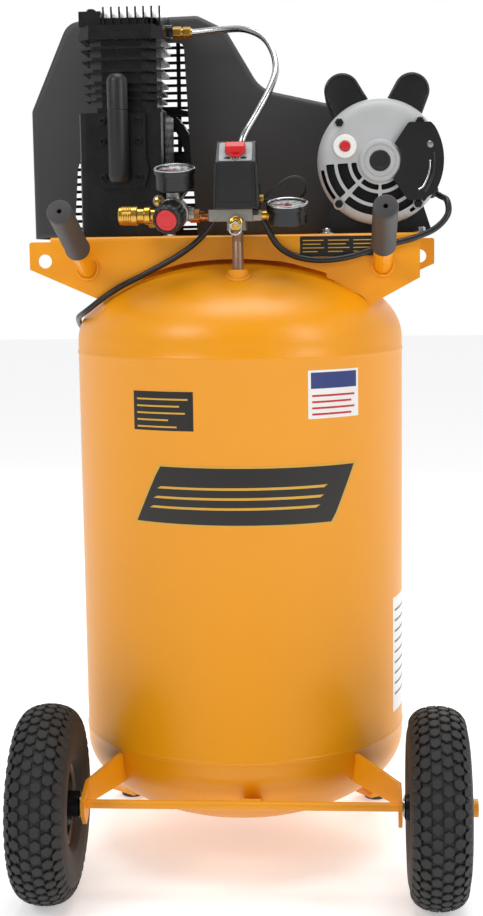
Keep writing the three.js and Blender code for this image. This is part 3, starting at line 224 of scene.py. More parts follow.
# Copper-coloured flare nut and nipple.
COPPER = surface("copper_nipple", "#c98a5c", "#a5673c", 0.28, metal=1.0, grain=0.8, depth=0.02, patch=5.0)
# Zinc die casting: dull grey metal with a mottled skin.
ZINC = surface("zinc_die_casting", "#a3a19b", "#85837d", 0.42, metal=0.85, grain=0.9, depth=0.06, patch=6.0)
# Zinc-plated steel screws and washers.
PLATED = surface("zinc_plated_steel", "#c9cbcd", "#aeb1b4", 0.26, metal=1.0, grain=0.7, depth=0.02, patch=6.0)
# Black oxide socket screws.
OXIDE = surface("black_oxide_steel", "#2a2a2b", "#1a1a1b", 0.38, metal=0.7, grain=0.7, depth=0.03, patch=5.0)
# Yellow-passivated pipe, slightly brown.
PIPE = surface("passivated_pipe", "#a5846f", "#846652", 0.42, metal=0.7, grain=1.2, depth=0.03, patch=8.0)
# Drawn aluminium tube: bright, with faint draw marks along it.
DRAWN_TUBE = surface("drawn_aluminium", "#d6d7d8", "#bfc1c3", 0.2, metal=1.0, depth=0.02, patch=9.0)
# Ground steel shaft and rotor laminations.
GROUND_STEEL = surface("ground_steel", "#b9bbbd", "#9b9da0", 0.3, metal=1.0, grain=0.6, depth=0.02,
                       patch=8.0, stretch=(1, 6, 1))
# Bare aluminium casting of the piston and rod.
BARE_CASTING = surface("bare_aluminium_casting", "#c2c3c4", "#a7a8a9", 0.45, metal=0.9, grain=0.9, depth=0.06)
# Enamelled copper windings.
WINDING = surface("enamelled_copper", "#3a1f12", "#1e0f08", 0.5, metal=0.3, grain=0.9, depth=0.4, patch=4.0)
# Red ABS, glossy from a polished mould.
RED_ABS = surface("moulded_abs_red", "#cf1f24", "#bf171c", 0.3, grain=1.5, depth=0.015, patch=15.0)
# Neoprene-covered V-belt with a woven cover.
BELT = surface("neoprene_belt", "#232323", "#171717", 0.7, grain=0.8, depth=0.1, patch=10.0)
# PVC cord jacket: smooth, slight sheen.
JACKET = surface("pvc_jacket", "#171718", "#111112", 0.36, grain=1.8, depth=0.03, patch=20.0)
# Gauge case in black stoved enamel.
GAUGE_CASE = surface("stoved_black_steel", "#121213", "#0c0c0d", 0.28, grain=2.0, depth=0.02, patch=20.0)
# Printed card dial.
DIAL = surface("printed_dial", "#f2f1ec", "#ecebe6", 0.6, grain=1.5, depth=0.01, patch=10.0)
# Vinyl labels, with a smooth film over the print.
VINYL_BLACK = surface("vinyl_black", "#1a1714", "#151310", 0.3, grain=4.0, depth=0.01, patch=60.0)
VINYL_WHITE = surface("vinyl_white", "#eceae6", "#e4e2de", 0.32, grain=4.0, depth=0.01, patch=60.0)
VINYL_BLUE = surface("vinyl_blue", "#2b3a78", "#25336c", 0.32, grain=4.0, depth=0.01, patch=60.0)
VINYL_RED = surface("vinyl_red", "#c22733", "#b8222d", 0.32, grain=4.0, depth=0.01, patch=60.0)
VINYL_YELLOW = surface("vinyl_yellow", "#d9a437", "#cc9a30", 0.32, grain=4.0, depth=0.01, patch=60.0)


def clear_lens():
    """Polycarbonate gauge lens: thin and clear."""
    material = bpy.data.materials.new("polycarbonate_lens")
    material.use_nodes = True
    tree = material.node_tree
    shader = tree.nodes["Principled BSDF"]
    shader.inputs["Base Color"].default_value = (0.95, 0.97, 0.97, 1)
    shader.inputs["Transmission Weight"].default_value = 1.0
    shader.inputs["IOR"].default_value = 1.2
    place = add_node(tree, "ShaderNodeTexCoord").outputs["Object"]
    smear = add_node(tree, "ShaderNodeTexNoise", {"Scale": per_mm(12.0)}, {"Vector": place})
    gloss = add_node(tree, "ShaderNodeMapRange", {"To Min": 0.02, "To Max": 0.08},
                     {"Value": smear.outputs["Fac"]})
    tree.links.new(gloss.outputs[0], shader.inputs["Roughness"])
    return material


LENS = clear_lens()

# ---------------------------------------------------------------- shape helpers
# A shape is a list of corners and a list of faces, in millimetres.


def moved(shape, matrix):
    """A shape put through a matrix."""
    return [matrix @ Vector(v) for v in shape[0]], shape[1]


def together(*shapes):
    """Several shapes as one."""
    corners, faces = [], []
    for more_corners, more_faces in shapes:
        start = len(corners)
        corners += more_corners
        faces += [tuple(i + start for i in face) for face in more_faces]
    return corners, faces


def lathe(profile, sides=64):
    """A profile of (radius, height) turned round Z. A closed ring of points gives a hollow piece."""
    corners, rings = [], []
    for radius, z in profile:
        if radius < 1e-6:
            rings.append([len(corners)])
            corners.append(Vector((0, 0, z)))
            continue
        rings.append(list(range(len(corners), len(corners) + sides)))
        for i in range(sides):
            angle = 2 * math.pi * i / sides
            corners.append(Vector((radius * math.cos(angle), radius * math.sin(angle), z)))
    pairs = list(zip(rings, rings[1:]))
    if profile[0][0] > 1e-6:
        pairs.append((rings[-1], rings[0]))
    faces = []
    for a, b in pairs:
        for i in range(sides):
            j = (i + 1) % sides
            if len(a) == 1 and len(b) == 1:
                continue
            if len(a) == 1:
                faces.append((a[0], b[j], b[i]))
            elif len(b) == 1:
                faces.append((a[i], a[j], b[0]))
            else:
                faces.append((a[i], a[j], b[j], b[i]))
    return corners, faces


def prism(outline, low, high):
    """An outline of (x, y) drawn up along Z."""
    count = len(outline)
    corners = [Vector((x, y, z)) for z in (low, high) for x, y in outline]
    sides = [(i, (i + 1) % count, (i + 1) % count + count, i + count) for i in range(count)]
    return corners, [tuple(range(count))[::-1], tuple(range(count, 2 * count))] + sides


def disc(radius, low, high, sides=32):
    """A plain round bar or disc standing on Z."""
    return lathe([(0, low), (radius, low), (radius, high), (0, high)], sides)


def polar(radius, turn, cx=0.0, cy=0.0):
    """The (x, y) at a radius and a turn in degrees about a centre."""
    angle = math.radians(turn)
    return cx + radius * math.cos(angle), cy + radius * math.sin(angle)


def arc(cx, cy, radius, start, end, steps):
    """Places along an arc."""
    return [polar(radius, start + (end - start) * i / steps, cx, cy) for i in range(steps + 1)]


def softened(points, steps=6):
    """An outline with its corners rounded: each point is (x, y) or (x, y, radius)."""
    out = []
    for i, point in enumerate(points):
        if len(point) == 2:
            out.append(point)
            continue
        corner = Vector(point[:2])
        before, after = (Vector(points[j % len(points)][:2]) for j in (i - 1, i + 1))
        back, ahead = (before - corner).normalized(), (after - corner).normalized()
        half = math.acos(max(-1, min(1, back.dot(ahead)))) / 2
        reach = point[2] / math.tan(half)
        start, end = corner + back * reach, corner + ahead * reach
        for k in range(steps + 1):
            t = k / steps
            out.append(tuple(start * (1 - t) ** 2 + corner * 2 * t * (1 - t) + end * t * t))
    return out


def inset(outline, distance):
    """An anticlockwise outline of (x, y) drawn in by a distance."""
    out = []
    for i in range(len(outline)):
        before, here, after = (Vector(outline[j % len(outline)]) for j in (i - 1, i, i + 1))
        first, second = (here - before).normalized(), (after - here).normalized()
        normal = Vector((-first.y - second.y, first.x + second.x)).normalized()
        shrink = max(0.4, normal.dot(Vector((-first.y, first.x))))
        out.append(tuple(here + normal * distance / shrink))
    return out


def layers(outline, steps):
    """Rings for stack(): the outline drawn in by a distance at each height."""
    return [[(x, y, z) for x, y in inset(outline, distance)] for distance, z in steps]


def smooth_path(points, per_span=8):
    """A centripetal curve through the points, as closely spaced places."""
    places = [Vector(p) for p in points]
    ends = [2 * places[0] - places[1]] + places + [2 * places[-1] - places[-2]]
    out = []
    for i in range(1, len(ends) - 2):
        a, b, c, d = ends[i - 1:i + 3]
        t1 = (b - a).length ** 0.5
        t2 = t1 + (c - b).length ** 0.5
        t3 = t2 + (d - c).length ** 0.5
        for k in range(per_span):
            t = t1 + (t2 - t1) * k / per_span
            ab = a * ((t1 - t) / t1) + b * (t / t1)
            bc = b * ((t2 - t) / (t2 - t1)) + c * ((t - t1) / (t2 - t1))
            cd = c * ((t3 - t) / (t3 - t2)) + d * ((t - t2) / (t3 - t2))
            abc = ab * ((t2 - t) / t2) + bc * (t / t2)
            bcd = bc * ((t3 - t) / (t3 - t1)) + cd * ((t - t1) / (t3 - t1))
            out.append(abc * ((t2 - t) / (t2 - t1)) + bcd * ((t - t1) / (t2 - t1)))
    return out + [places[-1]]


def sweep(places, radius, sides=16, closed=False):
    """A round bar along places. radius is a number, or a function of the share of the way along."""
    count = len(places)
    corners, faces = [], []
    side = None
    for i, here in enumerate(places):
        if closed:
            ahead = (places[(i + 1) % count] - places[i - 1]).normalized()
        else:
            ahead = (places[min(i + 1, count - 1)] - places[max(i - 1, 0)]).normalized()
        if side is None:
            side = ahead.orthogonal().normalized()
        side = (side - ahead * side.dot(ahead)).normalized()
        other = ahead.cross(side)
        size = radius(i / (count - 1)) if callable(radius) else radius
        for k in range(sides):
            angle = 2 * math.pi * k / sides
            corners.append(here + (side * math.cos(angle) + other * math.sin(angle)) * size)
    for i in range(count if closed else count - 1):
        j = (i + 1) % count
        for k in range(sides):
            n = (k + 1) % sides
            faces.append((i * sides + k, i * sides + n, j * sides + n, j * sides + k))
    if not closed:
        faces.append(tuple(range(sides))[::-1])
        faces.append(tuple((count - 1) * sides + k for k in range(sides)))
    return corners, faces


def link(name, mesh):
    """An object in the scene."""
    made = bpy.data.objects.new(name, mesh)
    bpy.context.scene.collection.objects.link(made)
    return made


def mesh_of(name, shape, weld_within=1e-6):
    """A mesh of a shape, with its touching corners joined and its faces turned outward."""
    mesh = bpy.data.meshes.new(name)
    mesh.from_pydata([tuple(v) for v in shape[0]], [], shape[1])
    form = bmesh.new()
    form.from_mesh(mesh)
    bmesh.ops.remove_doubles(form, verts=form.verts, dist=weld_within)
    bmesh.ops.recalc_face_normals(form, faces=form.faces)
    form.to_mesh(mesh)
    form.free()
    return mesh


def carved(shape, *cutters):
    """A shape with other shapes cut out of it."""
    body = link("carved_body", mesh_of("carved_body", shape, 1e-3))
    tools = [link("cutter", mesh_of("cutter", cutter, 1e-3)) for cutter in cutters]
    for tool in tools:
        cut = body.modifiers.new("cut", "BOOLEAN")
        cut.object, cut.solver, cut.operation = tool, "EXACT", "DIFFERENCE"
    view = bpy.context.evaluated_depsgraph_get()
    result = bpy.data.meshes.new_from_object(body.evaluated_get(view))
    out = [v.co.copy() for v in result.vertices], [tuple(p.vertices) for p in result.polygons]
    for item in [body, *tools]:
        bpy.data.objects.remove(item)
    return out


def shade(item, crease, bevel):
    """Smooth shading up to the crease angle, and a small bevel where there is one."""
    mesh = item.data
    for polygon in mesh.polygons:
        polygon.use_smooth = True
    mesh.set_sharp_from_angle(angle=math.radians(crease))
    if bevel:
        edge = item.modifiers.new("soft_edges", "BEVEL")
        edge.width, edge.segments, edge.limit_method = bevel * MM, 2, "ANGLE"
        edge.angle_limit = math.radians(max(crease, 30))
        edge.harden_normals = True
        edge.use_clamp_overlap = True


def piece(name, shape, finish, body="frame", bevel=0.0, crease=35, replaces="", place=None):
    """A new piece of the object in its finish, riding on a body."""
    if place is not None:
        shape = moved(shape, place)
    item = link(name, mesh_of(name, moved(shape, TO_FRAME)))
    item.data.materials.append(finish)
    shade(item, crease, bevel)
    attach(item, body)
    if replaces:
        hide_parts(*replaces.split())
    return item


def keep(node, finish, bevel=0.5, crease=32):
    """A CAD node as it is, with its finish, smooth curves and softened edges."""
    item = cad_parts[node]
    item.data.materials.clear()
    item.data.materials.append(finish)
    shade(item, crease, bevel)


def hexagon(across):
    """A hexagon of a width across its flats."""
    return arc(0, 0, across / math.sqrt(3), 0, 300, 5)


def hex_screw(across=10.0, height=5.0, washer=0.0):
    """A hexagon head with a chamfered top, on an optional washer, standing up from z 0."""
    low = 1.4 if washer else 0.0
    shapes = [prism(hexagon(across), low, low + height * 0.8),
              lathe([(0, low + height * 0.8), (across * 0.49, low + height * 0.8),
                     (across * 0.4, low + height), (0, low + height)], 24)]
    if washer:
        shapes.append(lathe([(0, 0), (washer, 0), (washer, low * 0.7), (washer - 0.4, low), (0, low)], 32))
    return together(*shapes)


def cap_screw(radius=5.0, height=5.0):
    """A socket cap screw with its hexagon recess."""
    body = lathe([(0, 0), (radius, 0), (radius, height - 0.6), (radius - 0.6, height), (0, height)], 28)
    return carved(body, prism(hexagon(radius), height * 0.4, height + 1))


def box(x0, x1, y0, y1, z0, z1):
    """A block between two corners."""
    return prism([(x0, y0), (x1, y0), (x1, y1), (x0, y1)], z0, z1)


def frame_ring(outer, inner, low, high):
    """A ring between two outlines with the same number of points, drawn up along Z."""
    count = len(outer)
    corners = [Vector((x, y, z)) for z in (low, high) for line in (outer, inner) for x, y in line]
    faces = []
    for i in range(count):
        j = (i + 1) % count
        faces += [(i, j, count + j, count + i), (2 * count + i, 3 * count + i, 3 * count + j, 2 * count + j),
                  (i, 2 * count + i, 2 * count + j, j), (count + i, count + j, 3 * count + j, 3 * count + i)]
    return corners, faces


def stack(rings, close_low=True, close_high=True):
    """Outlines with the same number of points, each a list of places, joined one to the next."""
    count = len(rings[0])
    corners = [Vector(p) for line in rings for p in line]
    faces = [(k * count + i, k * count + (i + 1) % count, (k + 1) * count + (i + 1) % count,
              (k + 1) * count + i) for k in range(len(rings) - 1) for i in range(count)]
    if close_low:
        faces.append(tuple(range(count))[::-1])
    if close_high:
        faces.append(tuple(range(len(corners) - count, len(corners))))
    return corners, faces


# ---------------------------------------------------------------- cords

GLAND_SPLAY = math.radians(40)
CORD_CLEAR = 8.0  # from the tank's wall to the middle of the cord
CORD_SPANS = 6
COIL_X, COIL_Y = 0.0, 168.0
COIL_OUTER, COIL_INNER, COIL_START = 47.1, 38.9, 239.5
FLOOR_TURN = 4.3
PLUG_X, PLUG_Y, PLUG_Z = 44.5, 129.1, 13.3
LEAD_TURN = -30


def gland_place(side, reach):
    """A place on the axis of a cord gland under the switch, a distance down it from its root."""
    x = (-13 if side < 0 else 31) - 4 * side
    return (x + side * reach * math.sin(GLAND_SPLAY), -115, 908.3 - reach * math.cos(GLAND_SPLAY))


def beside_tank(turn, z):
    """A place for the cord against the tank's wall."""
    return (*polar(TANK_R + CORD_CLEAR, turn), z)


def free_line(name, places, radius, finish, replaces, with_pieces=()):
    """A cord through the places as a curve with a round section."""
    path = [TO_FRAME @ p for p in smooth_path(places, CORD_SPANS)]
    curve = bpy.data.curves.new(name, "CURVE")
    curve.dimensions = "3D"
    curve.bevel_depth = radius * MM
    curve.bevel_resolution = 4
    curve.use_fill_caps = True
    spline = curve.splines.new("POLY")
    spline.points.add(len(path) - 1)
    for point, place in zip(spline.points, path):
        point.co = (*place, 1)
    spline.use_smooth = True
    curve.materials.append(finish)
    item = link(name, curve)
    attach(item, "frame")
    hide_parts(*replaces.split())


def ease(share):
    """A share of the way that starts and stops gently, held between 0 and 1."""
    share = min(max(share, 0), 1)
    return (3 - 2 * share) * share ** 2


def coil_places():
    """Two turns side by side on the floor; the end climbs over them to the plug."""
    out = []
    steps, whole_turn = 37, 750.5
    for i in range(1, steps + 1):
        turn = whole_turn * i / steps
        radius = COIL_OUTER + (COIL_INNER - COIL_OUTER) * ease((turn - 230) / 125)
        z = FLOOR_TURN + (PLUG_Z - FLOOR_TURN) * ease((turn - 640) / 85)
        out.append((*polar(radius, COIL_START + turn, COIL_X, COIL_Y), z))
    return out


def power_cord_places():
    """From the left gland over the tank's shoulder, down its back, and along the floor into the coil."""
    places = [gland_place(-1, 12.3), gland_place(-1, 21), (-36, -112, 876), (-53, -109.5, 860),
              (-75, -107.5, 845), (-101, -106, 831), (-127, -105.5, 818), (-152, -105, 806),
              (-178, -104, 790), (-202, -95.5, 773), (-216, -72, 765), (-223, -44, 761), (-228, -14, 756),
              (-231, 18, 748), (-227, 62, 732)]
    for share in (i / 8 for i in range(9)):
        places.append(beside_tank(156 - 32 * share ** 0.85, 708 - 538 * share))
    places.append(beside_tank(124, 95))
    foot = Vector(beside_tank(124, FLOOR_TURN))
    entry = Vector((*polar(COIL_OUTER, COIL_START, COIL_X, COIL_Y), FLOOR_TURN))
    heading = (entry - foot).normalized()
    bend = 40
    for angle in (0, 30, 60, 90):
        level, rise = polar(bend, angle)
        place = foot + heading * (bend - level)
        places.append((place.x, place.y, FLOOR_TURN + bend - rise))
    places += [tuple(foot.lerp(entry, share)) for share in (0.42, 0.6, 0.8, 1)]
    return places + coil_places() + [(22, PLUG_Y, PLUG_Z), (44.2, PLUG_Y, PLUG_Z)]


def make_plug():
    """A moulded grounded plug: ribbed tail, flared body, two flat blades and a round pin; and the tie."""
    ribs = [(6.2 + 0.22 * i + 0.7 * (i % 2), 0.9 * i + 0.6) for i in range(12)]
    tail = lathe([(0, 0), (5.2, 0)] + ribs + [(9, 12), (11.5, 15), (12.9, 19), (12.9, 34), (12.2, 36),
                                              (0, 36)], 48)
    blades = [box(x - 0.75, x + 0.75, 0.6, 6.9, 35, 52) for x in (-6.35, 6.35)]
    pin = moved(lathe([(0, 35), (2.4, 35), (2.4, 53), (1.4, 55), (0, 55)], 20), spot(0, -6, 0))
    place = spot(PLUG_X, PLUG_Y, PLUG_Z) @ AXIS_X
    body = piece("plug_body", tail, JACKET, bevel=0.3, replaces="plug", place=place)
    metal = piece("plug_blades", together(*blades, pin), BRASS, bevel=0.2, place=place)
    near, far = COIL_INNER - 4.6, COIL_OUTER + 4.6
    outer = softened([(near, 0.03, 2), (far, 0.03, 2), (far, 9.2, 2), (near, 9.2, 2)])
    tie = piece("cord_tie", frame_ring(outer, inset(outer, 0.25), -3, 3), ABS_BLACK,
                place=spot(COIL_X, COIL_Y, 0) @ turned(90, "Z") @ FRONT)
    return [body, metal, tie]


def make_cords():
    """The three free cords, and the tapered strain reliefs where two of them leave the switch."""
    free_line("power_lead", power_cord_places(), 4, JACKET, "power_cord cord_coil",
              make_plug())
    (x_out, z_out), (x_in, z_in) = (polar(reach, LEAD_TURN, MOTOR_X, MOTOR_Z) for reach in (94, 85))
    free_line("motor_cable", [
        gland_place(1, 12.3), gland_place(1, 21), (51, -110, 871), (62, -107, 855), (82, -105, 843),
        (112, -104, 837), (152, -104, 840), (203, -104.5, 855), (243, -105, 865), (272, -104, 878),
        (287, -98, 896), (286, -88, 914), (x_out, -75, z_out), (x_in, -72, z_in)],
        4.25, JACKET, "motor_lead")
    free_line("unloader_hose", [
        (38.3, -146, 918), (44.3, -146, 918), (60, -145, 933), (80, -142, 945), (93, -136, 944),
        (99, -127, 936), (97, -115, 925), (86, -102, 918), (66, -88, 918.3), (44, -76, 917.3),
        (24, -70, 917.3), (12, -75.7, 917.3), (9, -86.7, 917.3), (9, -95.7, 917.3)],
        2, ABS_BLACK, "unloader_tube")
    for side, name, radius in ((-1, "left", 4.3), (1, "right", 4.5)):
        ribs = [(radius + 3 - 0.16 * i + 0.55 * (i % 2), 1.3 * i - 2) for i in range(18)]
        aim = Vector(gland_place(side, 1)) - Vector(gland_place(side, 0))
        piece(f"strain_relief_{name}", lathe([(0, -2)] + ribs + [(radius, 21.5), (0, 21.5)], 32), ABS_BLACK,
              place=spot(*gland_place(side, 0)) @ aim.to_track_quat("Z", "Y").to_matrix().to_4x4())


# ---------------------------------------------------------------- tank

def dome_height(radius):
    """How high the top dome stands at a radius from the tank's axis."""
    return HIGH_DOME + HEAD_DEPTH * math.sqrt(1 - (radius / TANK_R) ** 2)


def weld(name, places, size, waves, sides):
    """A closed bead of weld with the ripple that the torch leaves."""
    piece(name, sweep(places, lambda share: size + 0.3 * math.sin(share * waves), sides, True), POWDER_COAT)


def make_tank():
    """The shell with its two seams and domed ends, the long weld, the top bung and the drain."""
    low, steps = LOW_DOME - HEAD_DEPTH, 26
    quarter = [polar(1, 90 * i / steps) for i in range(steps + 1)]
    profile = [(0, low)] + [(TANK_R * s, LOW_DOME - HEAD_DEPTH * c) for c, s in quarter[1:]]
    for seam in SEAMS:
        swell = [polar(1, turn) for turn in (20, 55, 90, 125, 160)]
        profile += [(TANK_R, seam - 3.6)] + [(TANK_R + 1.1 * s, seam - 3 * c) for c, s in swell]
        profile.append((TANK_R, seam + 3.6))
    profile += [(TANK_R * c, HIGH_DOME + HEAD_DEPTH * s) for c, s in quarter[:-1]]
    profile.append((0, HIGH_DOME + HEAD_DEPTH))
    piece("tank", lathe(profile, 144), POWDER_COAT, crease=50, replaces="tank_shell")
    piece("long_weld", sweep([Vector((*polar(TANK_R, 100), z)) for z in SEAMS], 1.6, 12), POWDER_COAT)
    top = dome_height(math.hypot(CONTROL_X, CONTROL_Y)) + 8
    bung = [(7.8, top - 22), (13.4, top - 22), (13.4, top - 1.2), (12.4, top), (7.8, top)]
    piece("riser_bung", lathe(bung, 48), POWDER_COAT, place=spot(CONTROL_X, CONTROL_Y, 0))
    bead = []
    for i in range(48):
        x, y = polar(14.5, 7.5 * i, CONTROL_X, CONTROL_Y)
        bead.append(Vector((x, y, dome_height(math.hypot(x, y)) + 0.6)))
    weld("bung_weld", bead, 2.6, 210, 12)
    piece("drain_boss", lathe([(6, low - 4), (14, low - 4), (15, low - 3), (15, low + 5), (6, low + 5)], 48),
          POWDER_COAT)
    piece("drain_body", together(prism(hexagon(15.6), 30.9, 42.6), disc(9.4, 36, 38)), BRASS, bevel=0.5,
          replaces="drain_valve_body")
    lobes = [polar(11.2 + 0.8 * math.cos(math.radians(8 * a)), a) for a in range(0, 360, 5)]
    piece("drain_knob", together(prism(lobes, 22.8, 29.6), disc(3, 29, 40, 20)), BRASS, "drain_knob",
          bevel=0.8, replaces="drain_valve_knob")


# ---------------------------------------------------------------- labels

FILM = 0.25  # how far a label stands proud of the tank
PRINT = 0.4  # and its print


def wall_label(name, finish, outline, proud=FILM):
    """A thin film wrapped round the tank: the outline is in degrees round it and height."""
    count = 40
    turns = [p[0] for p in outline]
    first, last = min(turns), max(turns)
    corners, faces = [], []
    for i in range(count + 1):
        turn = first + (last - first) * i / count
        heights = []
        for a, b in zip(outline, outline[1:] + outline[:1]):
            if a[0] != b[0] and min(a[0], b[0]) - 1e-6 <= turn <= max(a[0], b[0]) + 1e-6:
                heights.append(a[1] + (b[1] - a[1]) * (turn - a[0]) / (b[0] - a[0]))
        for reach in (TANK_R - 0.4, TANK_R + proud):
            corners += [Vector((*polar(reach, turn), z)) for z in (min(heights), max(heights))]
    for i in range(count):
        a, b = 4 * i, 4 * (i + 1)
        faces += [(a + 2, b + 2, b + 3, a + 3), (a, a + 1, b + 1, b), (a, b, b + 2, a + 2),
                  (a + 1, a + 3, b + 3, b + 1)]
    faces += [(0, 2, 3, 1), (4 * count, 4 * count + 1, 4 * count + 3, 4 * count + 2)]
    piece(name, (corners, faces), finish, crease=30)


def panel(first, last, low, high):
    """The outline of an upright panel."""
    return [(first, low), (last, low), (last, high), (first, high)]


def ruled(name, finish, first, lasts, top, pitch, height):
    """Ruled lines in place of print, one under another."""
    for i, last in enumerate(lasts):
        high = top - pitch * i
        wall_label(f"{name}_line_{i}", finish, panel(first, last, high - height, high), PRINT)


def make_labels():
    """A slanted band, three panels of ruled lines on the tank, and one on the deck's edge."""
    wall_label("band_edge", VINYL_YELLOW, [(-124.6, 496), (-54, 493), (-44.1, 573), (-114.8, 576)])
    wall_label("band", VINYL_BLACK, [(-123.4, 499), (-54.8, 496), (-45.6, 570), (-114, 573)], PRINT)
    for i, high in enumerate((521, 534, 547)):
        shift = 1.5 * i
        wall_label(f"band_stripe_{i}", VINYL_YELLOW,
                   [(shift - 118, high - 3), (shift - 60, high - 4.5), (shift - 59.6, high - 1),
                    (shift - 117.6, high)], 0.55)
    wall_label("notice", VINYL_BLACK, panel(-123.8, -101.6, 620, 671))
    ruled("notice", VINYL_YELLOW, -122.4, (-103.4, -106.4, -104.4, -110.4, -107.4), 662, 9, 2.2)
    wall_label("panel", VINYL_WHITE, panel(-63.6, -43.4, 633, 696))
    wall_label("panel_bar", VINYL_BLUE, panel(-62.6, -44.4, 672, 693), PRINT)
    ruled("panel", VINYL_RED, -62.2, (-45.2, -46.6, -45.2, -46.6), 664, 8, 2.6)
    wall_label("side_notice", VINYL_WHITE, panel(-21, 8, 206, 369))
    ruled("side_notice", VINYL_BLACK, -19, (5, 1, -3) * 3, 352, 15, 3)
    plate = softened([(89.5, 842, 2), (195.3, 842, 2), (195.3, 868.5, 2), (89.5, 868.5, 2)])
    piece("deck_label", prism(plate, 96.8, 97.3), VINYL_BLACK, place=FRONT)
    bars = [box(93 + 34 * column, 93 + 34 * column + width, 862.5 - 5 * row, 863.7 - 5 * row, 97.2, 97.4)
            for column in range(3) for row, width in enumerate((28, 24, 29, 20))]
    piece("deck_label_print", together(*bars), VINYL_YELLOW, place=FRONT)


# ---------------------------------------------------------------- wheels, deck, handles, feet

TREAD = [(0, 131), (10, 130.2), (20, 127.6), (27, 124.0), (33, 118.6), (37, 111.5)]
TREAD_ROWS = (-31.5, -20.4, -7, 7, 20.4, 31.5)
BLOCKS_ROUND = 44
TYRE_HALF = [(53, 25.2), (57, 30), (62, 33.4), (63.5, 34.6), (66, 34.9), (74, 37.6), (84, 38.9), (94, 38.8),
             (97, 39.0), (100, 38.3), (106, 36.8), (112, 33.5), (118, 27.5), (122, 21.5), (125.3, 13),
             (126.8, 5)]
RIM = [(6.7, -43), (15, -43), (17, -41.5), (17, -6), (20, -4), (36, -4), (41, -8), (43, -20), (45, -23.7),
       (52, -24.6), (55.5, -27.5), (56.5, -25.6), (52.2, -22), (50, -8), (49, 0), (50, 8), (52.2, 22),
       (56.5, 25.6), (55.5, 27.5), (52, 24.6), (45, 23.7), (43, 12), (41, 4), (36, 0), (20, 0), (17, 2),
       (17, 41.5), (15, 43), (6.7, 43)]
GRIP = [(3, 205.4), (13.1, 205.4), (13.1, 75.5), (15.6, 75.5), (16.5, 76.6), (16.5, 79.5), (15.9, 80.8),
        (15.9, 200), (15.9, 206), (14.6, 208.6), (12.5, 209.3), (3.6, 209.3), (3, 208.8)]
FOOT_PAD = [(0, 0.05), (15.2, 0.05), (16.8, 1.2), (17, 3), (16.4, 8.4), (15.6, 9), (0, 9)]
WHEEL_SPREAD, AXLE_X = 255, 11.5
HANDLE_X = 200


def tread_radius(x):
    """The tyre's radius at a distance across it from its middle."""
    x = abs(x)
    for (a, ra), (b, rb) in zip(TREAD, TREAD[1:]):
        if x <= b:
            return ra + (rb - ra) * (x - a) / (b - a)
    return TREAD[-1][1]


def tread_block(turn, across, long, wide):
    """One six-sided block on the tread, with its top drawn in."""
    corners = []
    for grow, drop in ((1.08, 5.0), (1.0, 1.0), (0.84, 0.1)):
        for s, t in ((1, 0), (0.5, 1), (-0.5, 1), (-1, 0), (-0.5, -1), (0.5, -1)):
            x = across + t * wide * grow / 2
            ahead = math.degrees(s * long * grow / 2 / TREAD[0][1])
            corners.append(Vector((x, *polar(tread_radius(x) - drop, turn + ahead))))
    faces = [tuple(range(6))[::-1], tuple(range(12, 18))]
    faces += [(6 * k + i, 6 * k + (i + 1) % 6, 6 * k + 6 + (i + 1) % 6, 6 * k + 6 + i)
              for k in (0, 1) for i in range(6)]
    return corners, faces


def make_wheel(side, x):
    """The tyre and its blocks, the dished rim with its screws, and the axle's washers."""
    tyre = [(r, -t) for r, t in TYRE_HALF] + [(r, t) for r, t in reversed(TYRE_HALF)]
    blocks = [tread_block((i + 0.5 * (row % 2)) * 360 / BLOCKS_ROUND, across, 15.5,
                          9.5 if abs(across) > 30 else 12.4)
              for row, across in enumerate(TREAD_ROWS) for i in range(BLOCKS_ROUND)]
    place = spot(x, AXLE_Y, AXLE_Z)
    body = f"{side}_wheel"
    piece(f"{side}_tyre_carcass", lathe(tyre, 120), TYRE_RUBBER, body, place=place @ AXIS_X,
          replaces=f"{side}_tyre")
    piece(f"{side}_tread", together(*blocks), TYRE_RUBBER, body, place=place, crease=20)
    piece(f"{side}_rim_dish", lathe(RIM, 72), RIM_PAINT, body, place=place @ AXIS_X, replaces=f"{side}_rim")
    screws = []
    for i in range(5):
        seat = turned(72 * i, "Z") @ spot(30, 0, 0)
        screws.append(moved(hex_screw(9, 4, 6.5), seat))
        screws.append(moved(hex_screw(9, 4, 6.5), turned(180, "X") @ seat @ spot(0, 0, 4)))
    piece(f"{side}_rim_screws", together(*screws), PLATED, body, place=place @ AXIS_X)
    for end, z in (("inner", -44.6), ("outer", 43.2)):
        washer = lathe([(6.7, z), (12.5, z), (12.5, z + 1.4), (6.7, z + 1.4)], 40)
        piece(f"{side}_{end}_washer", washer, PLATED, place=place @ AXIS_X)


